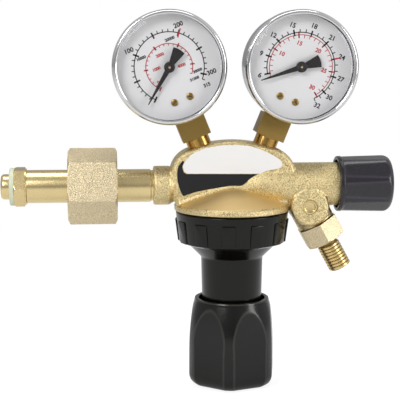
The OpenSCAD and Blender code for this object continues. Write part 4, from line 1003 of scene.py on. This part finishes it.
    def build(self) -> None:
        """Makes the body's pieces."""
        self.maker.finish(self.forging(), BLASTED, "regulator", "body")
        low, high, foot_r = self.flange_z, self.flange_z + self.flange_h, self.flange_r - self.flange_edge
        rim = rounded([(20, low), (self.flange_r, low, 0.3), (self.flange_r, high - self.flange_edge, 0.2),
                       (foot_r, high), (26, high), (20, high)], closed=True)
        self.turned("base_flange", rim, upright(), RIM, segments=192, closed=True)
        foot, peak = low - self.skirt_len, high + self.cone_h
        cone = rounded([(0, foot), (self.skirt_r, foot, 0.6), (self.skirt_r, low), (self.flange_r - 2, low),
                        (foot_r - 0.02, high), (foot_r - 0.4, high + 0.16, 0.1), (self.cone_r, peak, 0.5), (0, peak)])
        self.turned("base_cone", cone, upright(), CONE, segments=192)
        self.plate()

    def plate(self) -> None:
        """The bare two-tone plate on the front face."""
        light = rounded([(92.5, 11.1, 1.5), (94.2, 14.6, 4.0), (98.2, 18.2, 8.0), (104.5, 20.8, 12.0),
                         (114.3, 22.4, 20.0), (122.2, 22.5, 20.0), (128.7, 21.8, 20.0), (134.1, 20.1, 20.0),
                         (139.5, 17.7, 20.0), (143.8, 15.2, 6.0), (145.8, 13.4, 2.0), (146.4, 11.8, 1.5),
                         (145.6, 10.4, 1.5), (143.6, 9.5, 2.0), (140.6, 9.1, 5.0), (137.4, 8.3, 5.0),
                         (134.2, 6.9, 1.5), (95.1, 7.3, 1.2), (93.3, 8.3, 1.2)], 4, True)
        dark = rounded([(92.4, 14.2, 0.6), (90.0, 11.1, 4.0), (89.5, 7.5, 6.0), (89.7, 3.0, 6.0),
                        (91.0, -1.5, 3.0), (92.6, -4.9, 0.8), (99.1, -2.8, 10.0), (107.2, -1.2, 20.0),
                        (116.2, 0.2, 12.0), (124.3, 0.4, 3.0), (128.8, 3.5, 4.0), (134.2, 6.7, 0.3),
                        (94.3, 7.1, 0.4), (93.1, 8.1, 0.8), (92.2, 10.8, 1.5), (93.4, 13.8, 0.3)], 4, True)
        front, sink = to_front(self.face_y), -0.15
        self.piece("plate_light", prism(light, sink, 0.16), front, PLATE_LIGHT)
        self.piece("plate_dark", prism(dark, sink, 0.12), front, PLATE_DARK)


@dataclass
class Bonnet(Assembly):
    """Bonnet with its grip pads, and the diaphragm and springs inside it."""

    top: float = -13.95
    low: float = -30.6
    foot: float = -66.1
    seat: float = -23.55
    top_r: float = 31.1
    low_r: float = 28.9
    skirt_r: float = 27.25
    hollow_r: float = 21.0
    spring_bore: float = 13.2
    spindle_bore: float = 5.1
    floor_t: float = 4.5
    cone_r: float = 23.8
    cone_top: float = -32.4
    cone_low: float = -39.3
    neck_r: float = 16.9
    pads: int = 12
    pad_w: float = 7.6
    pad_h: float = 12.1
    pad_rise: float = 0.6
    screw_travel: float = 8.75
    poppet_travel: float = 0.7

    def build(self) -> None:
        """Makes the bonnet's pieces."""
        inner_foot = self.foot + self.floor_t
        path = rounded([(self.spindle_bore, self.foot, 0.2), (self.neck_r - 0.6, self.foot, 0.9),
                        (self.neck_r, self.cone_low, 2.5), (self.cone_r, self.cone_top, 0.8),
                        (self.low_r, self.low, 0.5), (self.top_r - 0.4, self.top - 0.6, 0.5),
                        (self.top_r - 1.3, self.top, 0.2), (self.skirt_r, self.top), (self.skirt_r, self.seat),
                        (self.hollow_r, self.seat), (self.hollow_r, self.low), (self.spring_bore, self.cone_low + 2),
                        (self.spring_bore, inner_foot), (self.spindle_bore, inner_foot)], closed=True)
        self.turned("bonnet_shell", path, upright(), COATED, "bonnet", segments=192, closed=True)
        pads = self.ring.apply(self.maker, self.maker.mesh("pad_raw", self.pad()), "bonnet_pads", COATED,
                               Count=self.pads, First=math.radians(-90 + GRIP_TURN), Step=2 * math.pi / self.pads)
        self.maker.move(pads, upright())
        self.maker.finish(pads, COATED, "regulator")
        self.dress(RUBBER, "diaphragm")
        self.dress(STEEL, "diaphragm_slip_ring", "diaphragm_plate", "push_pin", "spring_button", "adjusting_spindle")
        self.dress(POLISHED, "seat_nozzle", "valve_poppet")
        self.coil("main_spring", "adjuster_travel", self.screw_travel)
        self.coil("poppet_spring", "poppet_lift", self.poppet_travel)

    def coil(self, node: str, joint: str, travel: float) -> None:
        """Spring as a plain copy of its imported node, with a mesh of its own."""
        made = self.refined(node, node + "_coil", STEEL)
        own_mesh(made)

    def pad(self) -> Shape:
        """One raised pad with broken edges, following the ring's taper, on the +X side."""
        taper = (self.top_r - self.low_r) / (self.top - self.low)
        rings = []
        for depth, shrink in ((-0.6, 0.0), (self.pad_rise - 0.25, 0.0), (self.pad_rise - 0.07, 0.1),
                              (self.pad_rise, 0.32)):
            side, top = self.pad_w / 2 - shrink, self.pad_h - shrink
            outline = rounded([(-side, shrink, 0.8), (side, shrink, 0.8), (side, top, 0.8), (-side, top, 0.8)], 4,
                              True)
            ring = []
            for across, up in outline:
                r = self.low_r + taper * up + depth
                ring.append((r * math.cos(across / r), r * math.sin(across / r), self.low + up))
            rings.append(ring)
        return loft(rings)


@dataclass
class Adjuster(Assembly):
    """Large adjusting knob."""

    rim_z: float = -62.3
    height: float = 48.2
    rim_r: float = 20.3
    rim_wall: float = 2.2
    wide_r: float = 24.75
    flare_h: float = 24.0
    round_r: float = 7.0
    floor_z: float = -76.15
    socket_r: float = 4.7
    socket_z: float = -90.0
    facet_count: int = 6
    facet_top: float = 21.0
    facet_low: float = 22.75
    facet_run: float = 20.0

    def build(self) -> None:
        """Makes the knob."""
        low_z, rim, r, bore = self.rim_z - self.height, self.rim_z, self.rim_r, self.rim_r - self.rim_wall
        flare = [(r + (self.wide_r - r) * math.sin(math.pi / 2 * i / 24),
                  rim - 0.5 - (self.flare_h - 0.5) * i / 24) for i in range(24, 0, -1)]
        edge = [(self.wide_r - self.round_r + x, low_z + self.round_r + z)
                for x, z in arc(self.round_r, -math.pi / 2, 0.0, 14)]
        path = [(0, low_z), *edge, *flare, (r + 0.08, rim - 0.5), (r - 0.1, rim - 0.15), (r - 0.45, rim),
                (bore + 0.4, rim), (bore + 0.1, rim - 0.2), (bore, rim - 0.6), (bore, self.floor_z),
                (self.socket_r, self.floor_z), (self.socket_r, self.socket_z), (0, self.socket_z)]
        lean = (self.facet_top - self.facet_low) / self.facet_run
        facets = Facets(self.facet_count, 180 / self.facet_count - 90 + GRIP_TURN, self.facet_top - rim * lean, lean,
                        0.35, start=low_z - 1, end=rim - 0.9, foot=low_z + self.round_r, wide=self.wide_r,
                        cap=self.facet_low)
        self.facetted("knob_shell", dense(path, 0.7), upright(), facets, PLASTIC, "adjuster", "adjusting_knob",
                      segments=288)


@dataclass
class OutletValve(Assembly):
    """Shut-off valve at the end of the arm."""

    start_x: float = 177.4
    length: float = 30.4
    radius: float = 15.6
    taper: float = 0.4
    bore_r: float = 13.2
    bore_len: float = 10.0
    lip_len: float = 2.5
    facet_cut: float = 0.87

    def build(self) -> None:
        """Makes the valve's knob and dresses what is inside."""
        end, lip = self.length, self.radius - self.taper
        path = rounded([(self.bore_r, self.bore_len), (self.bore_r, 0, 0.3), (lip - 0.2, 0, 0.5),
                        (lip - 0.02, self.lip_len - 0.6, 0.5), (lip - 0.35, self.lip_len, 0.3),
                        (self.radius - 0.05, end - 1.1, 4.4), (6.0, end - 0.3, 8.0), (0.0, end)], 10)
        facets = Facets(8, 233.0, lip - self.facet_cut, self.taper / end, 0.35, start=self.lip_len + 0.1, end=end + 1)
        self.facetted("valve_knob_shell", [(0, self.bore_len), *dense(path, 0.7)], along_x(self.start_x), facets,
                      GRIP, "valve", "valve_knob")
        self.dress(POLISHED, "valve_gland", "valve_seat_disc")
        self.dress(STEEL, "valve_spindle")
        self.dress(RUBBER, "valve_o_ring")


@dataclass
class Outlet(Assembly):
    """Slanted outlet connector with its thread, washer and the knuckle's plug."""

    half: float = 10.5
    hex_len: float = 11.7
    neck_len: float = 2.8
    thread_r: float = 6.58
    thread_len: float = 14.4
    pitch: float = 1.8
    depth: float = 0.8
    root_clear: float = 0.25
    tail_r: float = 6.0
    tail_len: float = 8.0
    bore_r: float = 2.8

    def build(self) -> None:
        """Makes the outlet's pieces."""
        hexagon, bore = self.hex_len, self.bore_r
        corner = self.half / math.cos(math.radians(30))
        thread_s = hexagon + self.neck_len
        end_s = thread_s + self.thread_len
        crest_r = self.thread_r - self.depth
        root = crest_r - self.root_clear
        path = rounded([(bore, -self.tail_len), (self.tail_r, -self.tail_len), (self.tail_r, 0.3), (corner, 0.3, 0.3),
                        (corner, hexagon - 1.1, 0.8), (corner - 2.2, hexagon, 0.4), (root, hexagon + 0.2, 0.3),
                        (bore, hexagon + 0.2)], 4, True)
        place = along_outlet(OUTLET_FACE_S)
        self.facetted("outlet_body", dense(path + [path[0]], 0.9)[:-1], place,
                      Facets(6, 0.0, self.half, line=0.2, start=0.0, end=hexagon + 0.01), FORGED, "regulator",
                      "outlet_connector", segments=216, closed=True)
        shank = rounded([(bore + 0.1, hexagon), (root + 0.4, hexagon), (root + 0.4, hexagon + 0.3, 0.2),
                         (root, thread_s, 0.3), (root, end_s - 0.5, 0.3), (4.9, end_s, 0.2),
                         (bore + 0.1, end_s - 1.6, 0.4)], 4, True)
        # The shank between the crests carries the thread root's painted shade.
        self.turned("outlet_shank", shank, place, ROOT_SHADE, segments=96, closed=True)
        seed = self.maker.mesh("thread_raw", block((0, 0, 0), (1, 1, 1)))
        thread = HelicalThread().apply(
            self.maker, seed, "outlet_thread", THREAD, Radius=crest_r * MM, Pitch=self.pitch * MM,
            Length=(self.thread_len - 0.7) * MM, Depth=self.depth * MM)
        self.maker.move(thread, place @ shift(z=thread_s + 0.1))
        self.maker.finish(thread, THREAD, "regulator")
        plug = rounded([(0, PLUG_LOW), (4.0, PLUG_LOW), (4.0, 12.1, 0.4), (2.9, 12.1, 0.3), (2.5, 11.2, 0.3),
                        (0, 11.2)], 5)
        self.turned("knuckle_plug", plug, across_knuckle(), POLISHED, "passage_plug", segments=96)
        self.dress(COPPER, "outlet_washer")


class Relief(Assembly):
    """Relief valve on the back."""

    def build(self) -> None:
        """Dresses the relief valve's pieces."""
        self.refined("relief_cartridge", "relief_body", POLISHED, 0.2)
        self.dress(STEEL, "relief_poppet", "relief_spring")
        self.dress(POLISHED, "relief_cap")


@dataclass(frozen=True)
class Scale:
    """One printed scale: an arc, its ticks and its numbers. Angles are clockwise from the stem, in degrees.

    numbers holds the text, angle, radius and size of each number.
    """

    finish: Finish
    radius: float
    start: float
    sweep: float
    steps: int
    tick: float
    major_every: int
    major: float
    inward: bool
    line: float
    numbers: tuple[tuple[str, float, float, float], ...]


@dataclass
class Gauge(Assembly):
    """One dial gauge. mark holds the angle and both radii of the red limit mark."""

    side: Side
    scales: tuple[Scale, ...]
    rest: float
    mark: Triple
    dial_front: float = 14.6
    print_t: float = 0.05
    bezel_r: float = 30.1
    bezel_back: float = 12.0
    bezel_front: float = 21.0
    pane_back: float = 18.4
    neck_r: float = 6.4
    neck_low: float = -53.0
    neck_top: float = -40.9
    screw_spot: Point = (4.4, -18.3)
    needle_low: float = 16.7
    needle_t: float = 0.5
    needle_len: float = 22.5
    bold: float = 0.11

    def __post_init__(self) -> None:
        """Sets the first word of this gauge's node and piece names."""
        self.word = self.side.value + "_gauge"

    def place(self, depth: float = 0.0) -> Matrix:
        """Frame on the dial's axis at a depth, with Z to the front and Y up the stem's axis."""
        return gauge_frame(self.side) @ to_front(depth)

    def build(self) -> None:
        """Makes and dresses one gauge."""
        word, r, front = self.word, self.bezel_r, self.bezel_front
        ring = rounded([(r - 1.05, self.bezel_back), (r - 0.6, self.bezel_back, 0.2), (r, self.bezel_back + 0.9, 0.5),
                        (r, front - 1.9, 1.2), (r - 0.9, front - 0.25, 1.0), (r - 1.9, front, 0.5),
                        (r - 2.5, front - 0.35, 0.3), (r - 2.5, front - 1.0), (r - 1.05, front - 1.0)], 8, True)
        self.turned(word + "_bezel_ring", ring, self.place(), BEZEL, word + "_bezel", segments=256, closed=True)
        pane = rounded([(0, self.pane_back), (r - 1.15, self.pane_back), (r - 1.15, front - 1.0),
                        (r - 2.65, front - 1.0, 0.1), (r - 2.75, front - 0.9, 0.1), (r - 4.6, front - 0.15, 0.5),
                        (0, front - 0.1)])
        self.turned(word + "_pane", pane, self.place(), WINDOW, word + "_window", segments=192)
        self.refined(word + "_stem", word + "_stem_block", DARK_BRASS, 0.35)
        neck = rounded([(0, self.neck_low), (self.neck_r, self.neck_low), (self.neck_r, self.neck_top - 0.4, 0.4),
                        (self.neck_r - 0.6, self.neck_top, 0.2), (0, self.neck_top)])
        self.turned(word + "_neck", neck, gauge_frame(self.side), NECK, segments=96)
        self.refined(word + "_case", word + "_case_shell", CASE, 0.15)
        self.screws()
        self.pointer()
        for index, scale in enumerate(self.scales):
            self.scale(index, scale)
        self.limit_mark()
        for finish, nodes in ((DIAL, ("dial",)), (POLISHED, ("arbor", "sector", "movement_frame")),
                              (STEEL, ("link",)), (BRONZE, ("pressure_tube",))):
            self.dress(finish, *(f"{word}_{node}" for node in nodes))

    def screws(self) -> None:
        """Two dial screws, each with a thin black strip of painted shade on its head for the slot."""
        heads, slot_shade = Shape(), Shape()
        profile = rounded([(0, 0), (1.9, 0), (1.9, 0.45, 0.25), (1.2, 0.72, 0.4), (0, 0.75)])
        for x in (-self.screw_spot[0], self.screw_spot[0]):
            spot = shift(x, self.screw_spot[1], self.dial_front)
            heads.add(lathe(profile, 48), spot)
            spin = Matrix.Rotation(0.6 * x, 4, "Z")
            # Painted shade: each slot is a thin black strip laid on the head, not a cut.
            slot_shade.add(block((-1.35, -0.2, 0), (1.35, 0.2, 0.07)), spot @ shift(z=0.7) @ spin)
        self.piece(self.word + "_screw_heads", heads, self.place(), DARK_BRASS, "regulator",
                   self.word + "_dial_screws", slot="turned_brass")
        self.piece(self.word + "_screw_slots", slot_shade, self.place(), INK, slot="turned_brass")

    def pointer(self) -> None:
        """Pointer with a domed hub, a tapered blade and a fan-shaped tail."""
        body = self.side.value + "_pointer"
        low, high = self.needle_low, self.needle_low + self.needle_t
        hub = rounded([(0.65, 16.1), (2.9, 16.1, 0.1), (2.9, 17.7, 0.5), (0.65, 18.0, 0.1)], 6, True)
        made = lathe(hub, 64, True)
        blade = [(-1.5, 0), (-0.25, -self.needle_len), (0.25, -self.needle_len), (1.5, 0)]
        tip = arc(10.6, math.radians(72), math.radians(108), 8)
        fan = [(1.0, 0.0), (3.4, 10.2), *tip, (-3.4, 10.2), (-1.0, 0.0)]
        made.add(prism(blade, low, high)).add(prism(fan, low, high))
        spin = gauge_frame(self.side) @ turn(self.rest, "Y") @ to_front()
        self.piece(self.word + "_needle", made, spin, POINTER, body, self.word + "_pointer")
        pin = lathe([(0, 17.4), (0.62, 17.4), (0.62, 17.95), (0, 18.05)], 32)
        self.piece(self.word + "_needle_pin", pin, spin, POLISHED, body)

    def spot(self, angle: float, radius: float) -> Point:
        """Point on the dial at a clockwise angle from the stem."""
        a = math.radians(-90 - angle)
        return radius * math.cos(a), radius * math.sin(a)

    def scale(self, index: int, scale: Scale) -> None:
        """Arc, ticks and plain numbers of one scale."""
        base, steps, half = self.place(self.dial_front), 120, scale.line / 2
        outer, inner = ([self.spot(scale.start + scale.sweep * i / steps, radius) for i in range(steps + 1)]
                        for radius in (scale.radius + half, scale.radius - half))
        band = Shape()
        for i in range(steps):
            band.add(prism([outer[i], outer[i + 1], inner[i + 1], inner[i]], 0, self.print_t))
        self.piece(f"{self.word}_arc_{index}", band, base, scale.finish)
        step, low = scale.sweep / scale.steps, scale.radius - scale.tick * scale.inward
        for kind, start, length, width, every in (
                ("minor", low, scale.tick, scale.line, 1),
                ("major", scale.radius - scale.major / 2, scale.major, scale.line * 1.7, scale.major_every)):
            tick = block((start, -width / 2, 0), (start + length, width / 2, self.print_t))
            marks = self.ring.apply(
                self.maker, self.maker.mesh("tick_raw", tick), f"{self.word}_{kind}_{index}", scale.finish,
                Count=scale.steps // every + 1, First=math.radians(-90 - scale.start),
                Step=math.radians(-step * every))
            self.maker.move(marks, base)
            self.maker.finish(marks, scale.finish, "regulator")
        for order, (text, angle, radius, size) in enumerate(scale.numbers):
            self.number(f"{self.word}_n{index}_{order}", text, self.spot(angle, radius), size, scale.finish)

    def limit_mark(self) -> None:
        """Red mark across the outer scale."""
        angle, low, high = self.mark
        bar = Shape().add(block((low, -0.35, 0), (high, 0.35, self.print_t * 2)), turn(-90 - angle, "Z"))
        self.piece(self.word + "_limit_mark", bar, self.place(self.dial_front), RED_INK)

    def number(self, name: str, text: str, spot: Point, size: float, finish: Finish) -> None:
        """One plain number on the dial, upright along the stem."""
        curve = bpy.data.curves.new(name, "FONT")
        curve.body = text
        curve.align_x, curve.align_y = "CENTER", "CENTER"
        curve.size, curve.extrude = size * MM, self.print_t * MM / 2
        curve.resolution_u, curve.offset = 3, self.bold * MM
        made = self.maker.bake(new_object(name, curve), name)
        self.maker.move(made, self.place(self.dial_front + self.print_t / 2) @ shift(*spot))
        self.maker.finish(made, finish, "regulator")


# ---------------------------------------------------------------- studio


@dataclass
class Studio:
    """Floor, world, lights and camera, in metres. Lamps are named with their place, size and power."""

    target: Triple = (0.1025, 0.0, -0.0083)
    distance: float = 0.650
    azimuth: float = -4.6
    elevation: float = 8.0
    half_width: float = 0.109
    floor_z: float = -0.1107
    floor_reach: float = 6.0
    lamps: tuple[tuple[str, Triple, Point, float], ...] = (
        ("key", (-0.50, -0.80, 0.60), (0.45, 0.45), 6.0),
        ("fill", (0.95, -0.55, 0.25), (0.30, 0.6), 3.8),
        ("top", (0.1, 0.10, 0.95), (0.9, 0.4), 5.0))

    def build(self) -> None:
        """Makes the studio."""
        self.world()
        self.floor()
        for lamp in self.lamps:
            self.lamp(*lamp)
        self.camera()
        bpy.context.scene.view_settings.view_transform = "Standard"

    def world(self) -> None:
        """White for the camera, brighter above and at the sides for reflections, and even for diffuse light."""
        world = bpy.data.worlds.new("studio")
        world.use_nodes = True
        world.node_tree.nodes.clear()
        n = Nodes(world.node_tree)
        paths = n.node("ShaderNodeLightPath")
        glossy = n.out(paths, "Is Glossy Ray")
        across, _, height = n.split(n.read("ShaderNodeTexCoord", "Generated"))
        rise, horizon, above, below, even = 1.4, 0.45, 0.55, 0.10, 0.45
        both_sides, right_side, middle = 0.50, 0.12, 0.72
        up = n.clamp(height * rise + horizon, 0.0, 1.0)
        sides = n.math("ABSOLUTE", across) * both_sides + across * right_side + middle
        level = n.math("MAXIMUM", n.seen(paths), glossy * (up * above + below) * sides)
        level = n.math("MAXIMUM", level, (1.0 - glossy) * even)
        n.node("ShaderNodeOutputWorld", Surface=n.read("ShaderNodeBackground", Color=(1, 1, 1, 1), Strength=level))
        bpy.context.scene.world = world

    def floor(self) -> None:
        """Plain pale floor: white to the camera, with a soft shadow near the object."""
        data = bpy.data.meshes.new("floor")
        reach, z = self.floor_reach, self.floor_z
        data.from_pydata([(-reach, -reach, z), (reach, -reach, z), (reach, reach, z), (-reach, reach, z)], [],
                         [(0, 1, 2, 3)])
        floor = new_object("floor", data)
        made, n = new_material("floor_white")
        paths = n.node("ShaderNodeLightPath")
        mirrored, near, fade_rate = 0.3, 0.15, 2.5
        seen = n.math("MAXIMUM", n.seen(paths), n.out(paths, "Is Glossy Ray") * mirrored)
        offset = n.node("ShaderNodeVectorMath", {"operation": "SUBTRACT"})
        n.feed_all(offset.inputs, n.read("ShaderNodeTexCoord", "Object"), (self.target[0], 0.0, z))
        away = n.read("ShaderNodeVectorMath", "Value", {"operation": "LENGTH"}, Vector=n.out(offset))
        fade = n.clamp((away - near) * fade_rate, 0.0, 1.0)
        paper = n.read("ShaderNodeBsdfDiffuse", Color=(0.8, 0.8, 0.8, 1))
        glow = n.read("ShaderNodeEmission", Color=(1, 1, 1, 1), Strength=1.25 - fade * 0.25)
        n.node("ShaderNodeOutputMaterial", Surface=n.blend(seen * (fade * 0.30 + 0.70), paper, glow))
        data.materials.append(made)

    def lamp(self, name: str, place: Triple, size: Point, power: float) -> None:
        """One soft rectangular lamp aimed at the object."""
        data = bpy.data.lights.new(name, "AREA")
        data.shape, data.energy = "RECTANGLE", power
        data.size, data.size_y = size
        lamp = new_object(name, data)
        lamp.location = place
        lamp.rotation_euler = (Vector(self.target) - Vector(place)).to_track_quat("-Z", "Y").to_euler()

    def camera(self) -> None:
        """Camera at the photograph's angle."""
        a, e = math.radians(self.azimuth), math.radians(self.elevation)
        back = Vector((math.sin(a) * math.cos(e), -math.cos(a) * math.cos(e), math.sin(e)))
        data = bpy.data.cameras.new("camera")
        data.lens = data.sensor_width / 2 * self.distance / self.half_width
        data.clip_start, data.clip_end = 0.01, 50.0
        camera = new_object("camera", data)
        camera.location = Vector(self.target) + back * self.distance
        camera.rotation_euler = (-back).to_track_quat("-Z", "Y").to_euler()
        bpy.context.scene.camera = camera


def high_scales() -> tuple[Scale, ...]:
    """Scales of the left gauge."""
    outer = (("100", 133.8, 22.7, 3.4), ("200", 214.2, 22.5, 3.4), ("300", 298.6, 22.4, 3.4),
             ("315", 317.1, 21.9, 2.5), ("10000", 129.2, 15.4, 2.1), ("20000", 203.0, 14.6, 2.1),
             ("30000", 299.0, 15.0, 2.0), ("31500", 316.5, 14.6, 2.0))
    inner = (("1000", 102.9, 6.8, 2.2), ("2000", 164.0, 7.9, 2.2), ("4000", 284.3, 6.5, 2.2), ("0", 58.0, 9.8, 2.0))
    return (Scale(INK, 18.4, 45.1, 266.6, 31, 1.5, 5, 3.4, False, 0.52, outer),
            Scale(RED_INK, 12.3, 44.0, 264.0, 22, 1.1, 5, 2.3, True, 0.45, inner))


def low_scales() -> tuple[Scale, ...]:
    """Scales of the right gauge."""
    black = tuple((str(v), 86.5 + (v - 9) * 9.92, 22.3, 3.5) for v in (6, 9, 12, 15, 18, 21, 24, 27, 30, 32))
    red = tuple((str(v), 102.0 + (v - 10) * 10.35, 12.4, 3.1) for v in (10, 15, 20, 25, 30))
    return (Scale(INK, 18.1, 56.7, 258.0, 26, 1.7, 3, 3.4, False, 0.50, black),
            Scale(RED_INK, 16.8, 50.25, 258.75, 25, 1.8, 5, 3.4, True, 0.40, red))


def main() -> None:
    """Builds everything in order."""
    logging.basicConfig(level=logging.INFO, format="%(message)s")
    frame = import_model()
    Studio().build()
    maker = Maker()
    common = (maker, frame, RingOfCopies(), GripFacets())
    for kind in (Inlet, Body, Bonnet, Adjuster, OutletValve, Outlet, Relief):
        kind(*common).build()
    Gauge(*common, Side.HIGH, high_scales(), 51.7, (218.1, 16.0, 21.0)).build()
    Gauge(*common, Side.LOW, low_scales(), 50.1, (235.3, 18.2, 21.4)).build()
    log.info("%d pieces made", maker.count)


if __name__ == "__main__":
    main()
